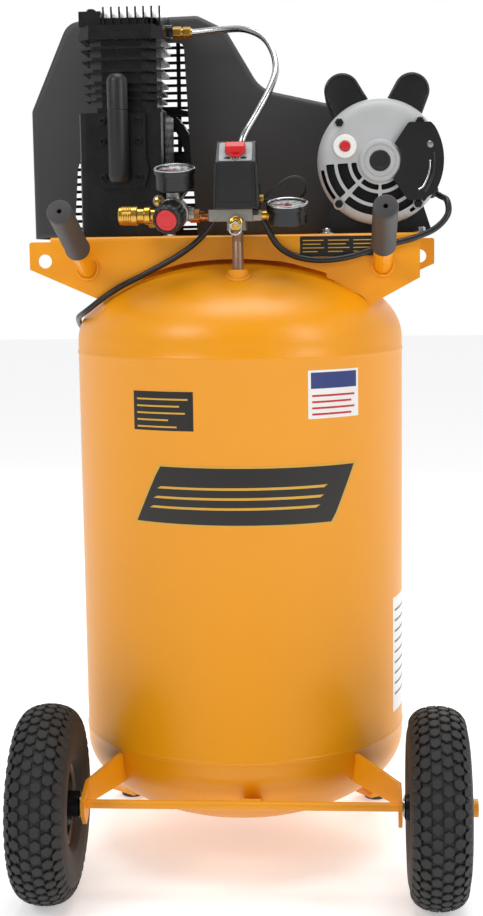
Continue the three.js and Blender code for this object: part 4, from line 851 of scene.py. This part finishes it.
def make_deck():
    """The platform, axle frame, wheels, handles, rear legs with their pads, and the foot screws."""
    keep("platform", POWDER_COAT, 1.0)
    keep("axle_frame", POWDER_COAT, 0.8)
    for side, sign, leg_turn in (("left", -1, 142), ("right", 1, 38)):
        make_wheel(side, AXLE_X + sign * WHEEL_SPREAD)
        keep(f"{side}_handle_tube", POWDER_COAT, 0.4)
        root = spot(sign * HANDLE_X, -97, DECK - 42)
        piece(f"{side}_grip_sleeve", lathe(GRIP, 64), GRIP_RUBBER, place=root @ turned(70, "X"),
              replaces=f"{side}_grip")
        bead = []
        for i in range(40):
            wide, high = polar(1, 9 * i)
            bead.append(Vector((sign * HANDLE_X + 14.2 * wide, -98.2, DECK - 42 + 15 * high)))
        weld(f"{side}_handle_weld", bead, 2.3, 180, 10)
        keep(f"{side}_rear_leg", POWDER_COAT, 0.8)
        leg = turned(leg_turn, "Z")
        piece(f"{side}_foot_pad", lathe(FOOT_PAD, 48), GRIP_RUBBER, place=leg @ spot(243.1, 0, 0),
              replaces=f"{side}_rear_foot")
        piece(f"{side}_foot_screw", hex_screw(10, 5, 8), PLATED, place=leg @ spot(246, 0, 14.3))
    for name, places in (("motor", ((126, -75), (252, -75), (128, 58), (243, 58))),
                         ("pump", ((-218, -68), (-90, -68)))):
        for i, (x, y) in enumerate(places):
            piece(f"{name}_foot_screw_{i}", hex_screw(11, 6, 10), PLATED, place=spot(x, y, DECK + 0.05))


# ---------------------------------------------------------------- pump

def make_pump():
    """The pump's own castings, kept, with its screws, breather, plugs and discharge pipe."""
    for node, finish, bevel in (("crankcase", CAST_ENAMEL, 1.6), ("crankcase_cover", HEAD_ENAMEL, 1.4),
                                ("cylinder", CAST_ENAMEL, 0.6), ("valve_plate", HEAD_ENAMEL, 0.8),
                                ("cylinder_head", HEAD_ENAMEL, 0.7), ("crankshaft", GROUND_STEEL, 0.5),
                                ("connecting_rod", BARE_CASTING, 0.8), ("piston", BARE_CASTING, 0.4),
                                ("flywheel", CAST_ENAMEL, 0.8), ("drive_belt", BELT, 0.3)):
        keep(node, finish, bevel)
    screws = [moved(cap_screw(5, 5), spot(x, -69.2, z) @ FRONT)
              for x in (-178.3, -129.7) for z in (1028, 1001, 952)]
    piece("cover_screws", together(*screws), OXIDE, bevel=0.2)
    tube = lathe([(0, 944), (9.5, 944.6), (12.5, 947.5), (14, 953), (14, 1038.6), (13.3, 1039.4),
                  (13.3, 1040.6), (14, 1041.4), (14, 1078), (13.2, 1083), (10.6, 1087), (6.4, 1089.5),
                  (0, 1090)], 56)
    nipple = moved(disc(6, 0, 16.6, 24), spot(0, 0, 966) @ AXIS_Y)
    piece("breather", together(tube, nipple), ABS_BLACK, place=spot(PUMP_X - 1, -86.3, 0),
          replaces="breather_tube")
    corner = [moved(hex_screw(11, 6, 8), spot(PUMP_X - 42, y, 1174)) for y in (-36, 36)]
    piece("head_screws", together(*corner), OXIDE)
    piece("oil_plug", hex_screw(13, 8), BRASS, bevel=0.3, place=spot(PUMP_X + 40, -60, 890) @ FRONT)
    piece("oil_sight", lathe([(0, 0), (9, 0), (9, 4), (6.5, 5), (6, 3.4), (0, 3.4)], 40), BRASS,
          place=spot(PUMP_X - 59, -20, 905) @ turned(-90, "Y"))
    path = smooth_path([
        (-89.4, 20, 1155), (-64, 20, 1155), (-16, 4, 1156), (14, -14, 1153), (39, -30, 1140),
        (53, -45, 1119), (58, -61, 1093), (50, -78, 1065), (32, -96, 1030), (15, -111, 998),
        (9, -111, 970), (9, -111, 934.6)], 10)
    piece("discharge_pipe", sweep(path, 4.75, 24), DRAWN_TUBE, crease=60, replaces="discharge_tube")
    nuts = [prism(hexagon(15.6), 0.3, 12), disc(6.6, 12, 14.5), prism(hexagon(14.4), 14.5, 25),
            lathe([(0, 25), (6, 25), (5.4, 28), (0, 28)], 32)]
    piece("head_nuts", together(*nuts), BRASS, bevel=0.6, place=spot(-90, 20, 1155) @ AXIS_X)


# ---------------------------------------------------------------- motor

MOTOR_CAN = [(8.8, 52), (8.8, 59), (24, 59), (26, 55), (73, 55), (78, 53.6), (81, 50.5), (82, 46), (82, 30),
             (81.4, 29), (81.4, 27), (82, 26), (82, -30), (81.4, -31), (81.4, -33), (82, -34), (82, -58),
             (79, -58), (79, -34), (50, -34), (50, 34), (79, 34), (79, 45), (72, 52)]
BELL = [(84, -58.3), (84, -72), (83.2, -79), (81, -84.6), (77, -89), (71.5, -91.7), (66, -92.3),
        (31, -92.3), (29, -93), (27, -96.4), (25.6, -97.3), (22.4, -97.3), (21.6, -96.3), (20.4, -96.3),
        (19.6, -97.3), (14.4, -97.3), (13.2, -96.4), (12, -94), (12, -80.3), (20, -80.3), (24, -88.3),
        (68, -88.3), (73, -85), (78, -77), (80, -70), (80, -58.3)]
RESET_SEAT = (-46.5, 20, 0)


def arc_slot(inner, outer, first, last):
    """A slot along an arc, with its corners softened and its ends square to the arc."""
    soft = 1.2
    turn = math.degrees(soft / outer)
    return (arc(0, 0, outer, first + turn, last - turn, 14)
            + [polar(outer - soft, last), polar(inner + soft, last)]
            + arc(0, 0, inner, last - turn, first + turn, 14)
            + [polar(inner + soft, first), polar(outer - soft, first)])


def make_capacitor(side, reach, tilt):
    """A long box with a round end on the motor's shoulder, its seam and its bright lip."""
    centre = spot(MOTOR_X, 0, MOTOR_Z)
    aim = turned(tilt, "Y") @ FRONT
    rounded = arc(0, reach, 24, 0, 180, 28)
    rings = layers([(27, 60)] + rounded + [(-27, 60)],
                   ((2.6, -24), (0.8, -23.2), (0, -21.4), (0, 62), (0.5, 62.6), (0.5, 63.4), (0, 64),
                    (0, 66), (0.8, 67.4), (2.6, 68)))
    hollow = moved(disc(84.5, -60, 60, 96), spot(0, -20, 0) @ AXIS_Y)
    piece(f"{side}_capacitor_box", carved(moved(stack(rings), aim), hollow), SHELL_PAINT, place=centre,
          crease=28, replaces=f"{side}_capacitor_cover")
    lip = [(22.6, 88)] + inset([(26.6, 88)] + rounded + [(-26.6, 88)], 2.8)[1:-1] + [(-22.6, 88)]
    piece(f"{side}_capacitor_lip", sweep([Vector((x, y, 68)) for x, y in lip], 1.3, 12), RIM_PAINT,
          place=centre @ aim)


def make_motor():
    """Shell, slotted end bell with its bolts, reset button, terminal lid, capacitors and windings."""
    centre = spot(MOTOR_X, 0, MOTOR_Z)
    facing = centre @ FRONT
    piece("motor_can", lathe(MOTOR_CAN, 96), SHELL_PAINT, place=centre @ AXIS_Y, replaces="motor_shell")
    slots = [prism(arc_slot(inner, outer, first, last), 75, 105)
             for inner, outer in ((31.2, 38.4), (42.8, 56.8), (61.2, 72))
             for first, last in ((183, 222), (228, 267), (273, 312))]
    slots += [prism(arc_slot(75.2, 80, first, last), 66, 105) for first, last in ((188, 219), (301, 336))]
    slots.append(moved(disc(6.8, 80, 100), spot(*RESET_SEAT)))
    bell = carved(moved(lathe(BELL, 96), AXIS_Y), *[moved(slot, FRONT) for slot in slots])
    piece("end_bell", bell, BELL_ENAMEL, place=centre, bevel=0.5, replaces="motor_front_bell")
    seats = [spot(x, z, 0) for x, z in ((-54, 51), (53, 51), (-55, -56), (51, -57))]
    boss = lathe([(0, 62), (7.4, 62), (7.4, 89.5), (6.6, 90.3), (0, 90.3)], 36)
    piece("bell_bosses", together(*[moved(boss, seat) for seat in seats]), BELL_ENAMEL, place=facing)
    bolt = moved(hex_screw(10, 5.5, 0), spot(0, 0, 90.2))
    piece("through_bolts", together(*[moved(bolt, seat) for seat in seats]), OXIDE, bevel=0.3, place=facing)
    piece("shaft_cap", lathe([(0, 95), (13.6, 95), (13.6, 97.8), (12.8, 98.8), (9, 99.1), (8.6, 98.7),
                              (0, 98.7)], 48), ABS_BLACK, place=facing)
    # A dark disc just inside the bell, behind its slots: painted shade, so that the slots read dark.
    piece("slot_shade_disc", lathe([(22, 78.6), (76, 78.6), (76, 79.6), (22, 79.6)], 64), OXIDE, place=facing)
    collar = lathe([(7.2, 92), (15.7, 92), (15.7, 93.6), (14.9, 94.4), (8.2, 94.4), (7.2, 93.6)], 48)
    piece("reset_collar", collar, VINYL_WHITE, place=facing @ spot(*RESET_SEAT))
    button = lathe([(0, 78), (6.4, 78), (6.4, 95.6), (5.6, 96.9), (3.4, 97.3), (0, 97.3)], 40)
    piece("reset_cap", button, RED_ABS, "reset_button", place=facing @ spot(*RESET_SEAT),
          replaces="reset_button")
    outline = softened([(39, 47, 3), (66, 47, 3)] + arc(0, 0, 82, 31, -30, 14)
                       + [(56, -50, 6), (38, -50, 3)] + arc(0, 0, 31.5, -50, 45, 10))
    lid = stack(layers(outline, ((0, 92.6), (0, 96.6), (1.0, 98.6), (2.6, 99.6))))
    piece("terminal_lid", lid, SHELL_PAINT, place=facing, replaces="terminal_cover")
    rib = smooth_path([(66, 0, 99.2), (65.6, -12, 100), (62, -25, 100), (56.5, -35, 100), (51, -38.5, 99)])
    piece("lid_rib", sweep(rib, 1.5, 12), DRAWN_TUBE, place=facing)
    ridge = smooth_path([(70.5, 10, 98.4), (71.5, -4, 99.6), (70, -18, 99.6), (65, -32, 99.6),
                         (59, -42, 98.4)])
    piece("lid_ridge", sweep(ridge, 2.6, 12), SHELL_PAINT, place=facing)
    piece("lid_screw", lathe([(0, 99.2), (4.6, 99.2), (4.6, 100.6), (3.4, 102), (0, 102.4)], 32), PLATED,
          place=facing @ spot(66, 20, 0))
    make_capacitor("left", 107, -28)
    make_capacitor("right", 103, 24.6)
    keep("motor_base", SHELL_PAINT, 0.6)
    keep("motor_rotor", GROUND_STEEL, 0.4)
    keep("motor_pulley", CAST_ENAMEL, 0.5)
    coils = [lathe([(56, y), (74, y), (76, y + 6), (74, y + 12), (56, y + 12), (54, y + 6)], 72)
             for y in (-50, 35)]
    piece("windings", together(*coils), WINDING, place=centre @ AXIS_Y)
    x, z = polar(81, LEAD_TURN, MOTOR_X, MOTOR_Z)
    piece("lead_bushing", lathe([(0, -3), (9, -3), (9, 3), (7, 6), (5.4, 7), (0, 7)], 32), ABS_BLACK,
          place=spot(x, -71, z) @ turned(120, "Y"))


# ---------------------------------------------------------------- guard

def guard_outline(steps=10):
    """The guard's edge from the front: tall over the flywheel, sloping down to the motor."""
    low, top, motor_top = DECK + 0.3, DECK + 314, MOTOR_Z + 66
    return softened([(-304, low), (256, low, 20), (256, motor_top, 46), (MOTOR_X - 80, motor_top + 28, 30),
                     (30, top - 105, 50), (-20, top - 20, 26), (-60, top, 18), (-248, top - 4, 30),
                     (-304, DECK + 184, 14)], steps)


def make_guard():
    """One moulded cover with a window for the pump and a hole for the shaft, and the grille behind."""
    outline = guard_outline()
    outer = layers(outline, ((0.6, -149.6), (0, -148.8), (0, -74), (0.9, -70.3), (3, -67.6), (6, -66.3),
                             (9, -66)))
    inner = layers(outline, ((12, -69), (6, -70.5), (3.4, -76), (3, -150)))
    shell = together(stack(outer, close_low=False), stack(inner, close_high=False),
                     stack([inner[-1], outer[0]], False, False))
    top = DECK + 276
    window = softened([(PUMP_X + 90, DECK - 5), (PUMP_X + 81, DECK + 124), (PUMP_X + 74, top, 10),
                       (PUMP_X - 52, top, 10), (PUMP_X - 62, DECK + 168, 12), (PUMP_X - 84, DECK + 100, 8),
                       (PUMP_X - 92, DECK - 5)], 8)
    hole = arc(MOTOR_X, MOTOR_Z, 46, 0, 354, 59)
    open_floor = box(-301, 234, DECK - 5, DECK + 60, -151, -69.2)
    cover = carved(shell, prism(window, -90, -50), prism(hole, -90, -50), open_floor)
    piece("guard_cover", cover, GUARD_PLASTIC, crease=30, replaces="guard_shell", place=FRONT)
    line = inset(outline, 12)
    bars = [frame_ring(outline, line, -152.3, -150.3)]
    z = DECK + 16
    while z < DECK + 304:
        hits = sorted(a[0] + (b[0] - a[0]) * (z - a[1]) / (b[1] - a[1])
                      for a, b in zip(line, line[1:] + line[:1]) if (a[1] - z) * (b[1] - z) < 0)
        if len(hits) >= 2:
            bars.append(box(hits[0] - 3, hits[-1] + 3, z - 2.2, z + 2.2, -152.0, -150.5))
        z += 11
    for x in (-240, -97, 46):
        bars.append(box(x - 3, x + 3, DECK + 8, DECK + (306 if x < 0 else 190), -152.3, -150.3))
    piece("grille", together(*bars), SHELL_PAINT, replaces="rear_grille", place=FRONT)
    ties = [moved(hex_screw(8, 3.5, 6), spot(x, 152.3, z) @ AXIS_Y)
            for x, z in ((-292, 890), (-240, 1175), (-70, 1178), (244, 900), (240, 1010))]
    piece("grille_screws", together(*ties), PLATED)


# ---------------------------------------------------------------- pressure controls

REGULATOR_X, REGULATOR_Y, REGULATOR_Z = -73, -150, 898.5
GAUGE_LEAN = 14


def make_switch():
    """The tapered cover with its ribs and edges, the sloping plate and the red handle."""
    low, high, back, front = 904.3, 992.3, -123.0, -171.0
    side = [(front, low), (back, low), (back, high - 14), (back - 7, high), (front + 22, high),
            (front, high - 28)]
    rings = [[(CONTROL_X + sign * (29 - 3.2 * (z - low) / 88), y, z) for y, z in side] for sign in (-1, 1)]
    piece("switch_cover", stack(rings), ABS_BLACK, bevel=1.6, crease=28, replaces="switch_body")
    ribs = []
    for sign in (-1, 1):
        for y in (-163, -154, -145, -136):
            ribs.append(stack([[(CONTROL_X + sign * (reach + step), y + edge, z)
                                for step, edge in ((-2, -1.2), (out, -1.2), (out, 1.2), (-2, 1.2))]
                               for reach, out, z in ((28.9, 0.7, low + 3), (27.0, 0.5, low + 52))]))
    glands = [box(x - 7, x + 7, -124, -108, low + 3, low + 34) for x in (-13, 31)]
    piece("switch_ribs", together(*ribs, *glands), ABS_BLACK, bevel=0.5)
    seam = box(CONTROL_X - 29.3, CONTROL_X + 29.3, front - 0.4, back + 0.4, low + 6, low + 8.5)
    piece("switch_seam", seam, ABS_BLACK, bevel=0.6)
    edges = [sweep([Vector((CONTROL_X + sign * 28.4, front - 0.2, low + 2)),
                    Vector((CONTROL_X + sign * 26.6, front - 0.2, high - 30))], 2.2, 14) for sign in (-1, 1)]
    face = prism([(CONTROL_X - 22, low + 10), (CONTROL_X + 22, low + 10), (CONTROL_X + 20.4, high - 31),
                  (CONTROL_X - 20.4, high - 31)], -front - 0.5, -front + 1.1)
    piece("switch_edges", together(*edges), ABS_BLACK)
    piece("switch_face", face, ABS_BLACK, bevel=0.5, place=FRONT)
    tilt = math.degrees(math.atan2(22, 28))
    slope = spot(CONTROL_X, -160.4, 977.9) @ turned(90 - tilt, "X")
    plate = softened([(x * 21.5, y * 15.5, 3) for x, y in ((-1, -1), (1, -1), (1, 1), (-1, 1))])
    piece("switch_plate", prism(plate, -0.6, 0.9), ABS_GREY, bevel=0.3, place=slope)
    marks = [box(x - half, x + half, -12.6, -9.4, 0.85, 1.1) for x, half in ((-11, 4), (0, 1.2), (11, 4))]
    marks.append(frame_ring(arc(0, -11, 4.4, 0, 345, 23), arc(0, -11, 3.6, 0, 345, 23), 0.85, 1.1))
    piece("switch_marks", together(*marks), VINYL_BLACK, place=slope)
    base = lathe([(0, 1.2), (11, 1.2), (11, 3.8), (10, 5), (0, 5)], 48)
    grip = stack([[(-x, -y, z), (x, -y, z), (x, y, z), (-x, y, z)] for x, y, z in ((14, 6, 4),
                                                                                   (12.2, 4.2, 14.8))])
    piece("switch_handle", together(base, grip), RED_ABS, "switch_knob", bevel=1.2, crease=30, place=slope,
          replaces="switch_knob")


def make_valves():
    """The manifold on its riser, the check valve with its side port, and the relief valve with its ring."""
    keep("manifold", ZINC, 1.4)
    riser_low = dome_height(math.hypot(CONTROL_X, CONTROL_Y)) - 6
    threads = [(7.35 - 0.5 * (i % 2), 862 + 0.9 * i) for i in range(12)]
    riser = [(4.85, riser_low), (7.35, riser_low)] + threads + [(7.2, 873), (7.35, 874), (7.35, 876.6),
                                                                (4.85, 876.6)]
    piece("riser", lathe(riser, 48), PIPE, place=spot(CONTROL_X, CONTROL_Y, 0), replaces="riser_pipe")
    check = [prism(hexagon(17.2), 904.4, 914), disc(8.4, 914, 922, 40), prism(hexagon(17.2), 922, 930),
             lathe([(0, 930), (7.6, 930), (6.4, 934.2), (0, 934.2)], 40), prism(hexagon(14.4), 934.6, 945),
             lathe([(0, 945), (6.2, 945), (5.4, 949), (0, 949)], 32)]
    piece("check_valve_body", together(*check), BRASS, bevel=0.5, place=spot(9, -111, 0),
          replaces="check_valve")
    piece("check_valve_port", together(disc(4, 6, 15, 24), prism(hexagon(9), 8, 13)), BRASS, bevel=0.3,
          place=spot(9, -111, 917.3) @ AXIS_Y)
    piece("unloader_nut", prism(hexagon(9), 0.2, 6), BRASS, bevel=0.4, place=spot(38, -146, 918) @ AXIS_X)
    relief = lathe([(0, 0), (6.5, 0), (6.5, 4), (9, 5), (9, 6), (8.2, 6.6), (9, 7.2), (9, 11), (7.6, 12),
                    (5.2, 12.4), (5, 15.6), (4.2, 16), (0, 16)], 40)
    piece("relief_valve", together(relief, prism(hexagon(15), 1, 5.5)), BRASS, bevel=0.3,
          place=spot(CONTROL_X, -167.3, 886) @ FRONT, replaces="safety_valve")
    circle = [Vector((x, 0, z)) for x, z in arc(0, -7.6, 7.6, 0, 350, 35)]
    stem = moved(lathe([(0, -3), (1.7, -3), (1.7, 5.4), (1.1, 6), (0, 6)], 20), spot(0, 5, 0) @ FRONT)
    piece("relief_ring", together(sweep(circle, 1.15, 12, True), stem), PLATED, "safety_ring",
          place=spot(CONTROL_X, -187.8, 886), replaces="safety_valve_ring")


def make_coupler():
    """The brass outlet and its knurled sliding collar."""
    tail = spot(0, REGULATOR_Y, REGULATOR_Z) @ AXIS_X
    outlet = lathe([(0, -127.3), (5.5, -127.3), (5.5, -147), (6.4, -147.3), (9, -147.3), (10, -146.4),
                    (10, -113.4), (12, -112.4), (12, -105.4), (8.5, -104.3), (8.5, -97.3), (0, -97.3)], 48)
    piece("coupler_plug", together(outlet, prism(hexagon(20), -111.6, -105)), BRASS, bevel=0.4, place=tail,
          replaces="coupler_body")
    knurl = [(12.2, -145.8), (12.1, -144.8)]
    for z in (-142.5, -139.5, -136.5, -133.5, -130.5):
        knurl += [(12.1, z), (13, z + 1)]
    knurl += [(13, -127), (13, -124), (13, -122.8), (12.2, -121.9)]
    piece("coupler_collar", lathe(knurl + [(10.7, -121.9), (10.7, -145.8)], 56), BRASS, "sleeve", place=tail,
          replaces="coupler_sleeve")


def make_regulator():
    """The zinc body with its port for the gauge, the nipple, and the fluted knob with its red cap."""
    aim = spot(REGULATOR_X, REGULATOR_Y, 902.5) @ turned(-10, "Z") @ turned(107, "X")
    barrel = lathe([(0, -8), (15, -8), (18, -6), (19, -3), (19, 5), (20.6, 6), (20.6, 9), (19, 10), (19, 13),
                    (17.6, 14), (0, 14)], 64)
    cross = moved(lathe([(0, -24), (9.5, -24), (9.5, -18), (8.6, -17), (8.6, 18), (9.5, 19), (9.5, 26),
                         (0, 26)], 40), spot(REGULATOR_X, REGULATOR_Y, REGULATOR_Z) @ AXIS_X)
    port = moved(lathe([(0, 0), (8, 0), (8, 22), (6.6, 24), (6.6, 32.6), (0, 32.6)], 40),
                 spot(-71, REGULATOR_Y, REGULATOR_Z) @ turned(GAUGE_LEAN, "X"))
    eye_seat = spot(REGULATOR_X - 20, REGULATOR_Y, REGULATOR_Z + 18) @ FRONT
    eye = moved(lathe([(0, -4), (7, -4), (8, -3), (8, 7), (7, 8), (0, 8)], 36), eye_seat)
    piece("regulator_casting", together(moved(barrel, aim), cross, port, eye), ZINC, bevel=0.5,
          replaces="regulator_body")
    piece("regulator_plug", lathe([(0, 8), (5.4, 8), (5.4, 10), (2.6, 11), (2.4, 9.4), (0, 9.4)], 32), BRASS,
          place=eye_seat)
    nipple = spot(REGULATOR_X, REGULATOR_Y, LINE_Z) @ AXIS_X
    piece("nipple_hex", prism(hexagon(15.6), 20.5, 33), COPPER, bevel=0.5, place=nipple)
    thread = [(0, 30)] + [(6.6 - 0.5 * (i % 2), 30 + i) for i in range(16)] + [(0, 46)]
    piece("nipple_thread", lathe(thread, 32), COPPER, place=nipple)
    flutes = [polar(20.5 - 1.1 * (0.5 + 0.5 * math.cos(math.radians(45 * i))) ** 3, 3.75 * i)
              for i in range(96)]
    rings = [[(x * k, y * k, z) for x, y in flutes] for k, z in ((0.96, 14.7), (1, 16), (1, 34), (0.95, 38),
                                                                (0.86, 40.8), (0.76, 41.6), (0.72, 40.6))]
    piece("regulator_grip", stack(rings), ABS_BLACK, "regulator_knob", crease=40, place=aim,
          replaces="regulator_knob")
    piece("regulator_cap", lathe([(0, 40), (13.6, 40), (13.6, 41.4), (12.6, 42.2), (9.4, 42.2),
                                  (8.8, 41.6), (0, 41.9)], 48), RED_ABS, "regulator_knob", place=aim)


def dial_figure(number, turn):
    """A small printed number on the dial."""
    text = bpy.data.curves.new("figure", "FONT")
    text.body, text.size, text.align_x, text.align_y = str(number), 3.6, "CENTER", "CENTER"
    text.extrude = 0.05
    source = link("figure", text)
    mesh = bpy.data.meshes.new_from_object(source.evaluated_get(bpy.context.evaluated_depsgraph_get()))
    shape = [v.co.copy() for v in mesh.vertices], [tuple(p.vertices) for p in mesh.polygons]
    bpy.data.objects.remove(source)
    return moved(shape, spot(*polar(14.6, turn), -4.62))


def make_gauge(side, place):
    """A gauge with its face up: case, bezel, card dial with ticks and figures, pointer and lens."""
    def part(name, shape, finish, body="frame", replaces=""):
        """One piece of this gauge."""
        piece(f"{side}_gauge_{name}", shape, finish, body, place=place, replaces=replaces)

    first_turn, whole_turn, spaces, figures = 225, 270, 32, 8
    part("case", lathe([(0, -30), (20, -30), (24, -29), (25.5, -27), (25.5, -6.5), (24.3, -6.5),
                        (24.3, -5.2), (0, -5.2)], 72), GAUGE_CASE, replaces=f"{side}_gauge")
    part("rim", lathe([(25, -8), (27.2, -8), (27.4, -7), (27.4, -2), (25, -2)], 72), GAUGE_CASE)
    part("bezel", lathe([(24.2, -2), (27.7, -2), (27.7, -1.2), (27, -0.3), (25.4, 0), (24.3, -0.6)], 72),
         PLATED)
    part("dial", disc(24.2, -5.1, -4.7, 64), DIAL)
    ticks = [frame_ring(arc(0, 0, 22.4, -45, 225, 60), arc(0, 0, 21.9, -45, 225, 60), -4.72, -4.6)]
    for i in range(spaces + 1):
        long, half = (4.2, 0.35) if i % 4 == 0 else (2.2, 0.18)
        ticks.append(moved(box(21.6 - long, 21.6, -half, half, -4.72, -4.55),
                           turned(first_turn - whole_turn * i / spaces, "Z")))
    part("ticks", together(*ticks), VINYL_BLACK)
    part("figures", together(*[dial_figure(20 * i, first_turn - whole_turn * i / figures)
                               for i in range(figures + 1)]), VINYL_BLACK)
    edge = ((-18.5, -0.35), (-6, -0.9), (6, -1.5), (6, 1.5), (-6, 0.9), (-18.5, 0.35))
    hand = prism(edge, -4.0, -3.4)
    hub = lathe([(0, -4.4), (2.6, -4.4), (2.6, -2.8), (1.8, -2.3), (0, -2.3)], 32)
    part("pointer", together(hand, hub), RED_ABS, f"{side}_needle", f"{side}_gauge_needle")
    part("lens", lathe([(0, -1.9), (24.2, -1.9), (24.2, -1.2), (18, -0.9), (0, -0.8)], 64), LENS)


def make_controls():
    """Everything on the manifold: switch, valves, regulator, coupler and the two gauges."""
    make_switch()
    make_valves()
    make_regulator()
    make_coupler()
    lean = turned(GAUGE_LEAN, "X")
    make_gauge("left", spot(-71, REGULATOR_Y, REGULATOR_Z) @ lean @ spot(0, 0, 63))
    make_gauge("right", spot(75, -150, 913) @ turned(16, "X"))
    stem = lathe([(0, 41.3), (6, 41.3), (6, 48), (7, 49), (7, 56), (0, 56)], 32)
    piece("right_gauge_stem", stem, BRASS, place=spot(0, CONTROL_Y, LINE_Z) @ AXIS_X)


# ---------------------------------------------------------------- the whole object

set_camera()
make_cords()
make_tank()
make_labels()
make_deck()
make_pump()
make_motor()
make_guard()
make_controls()
set_stage()
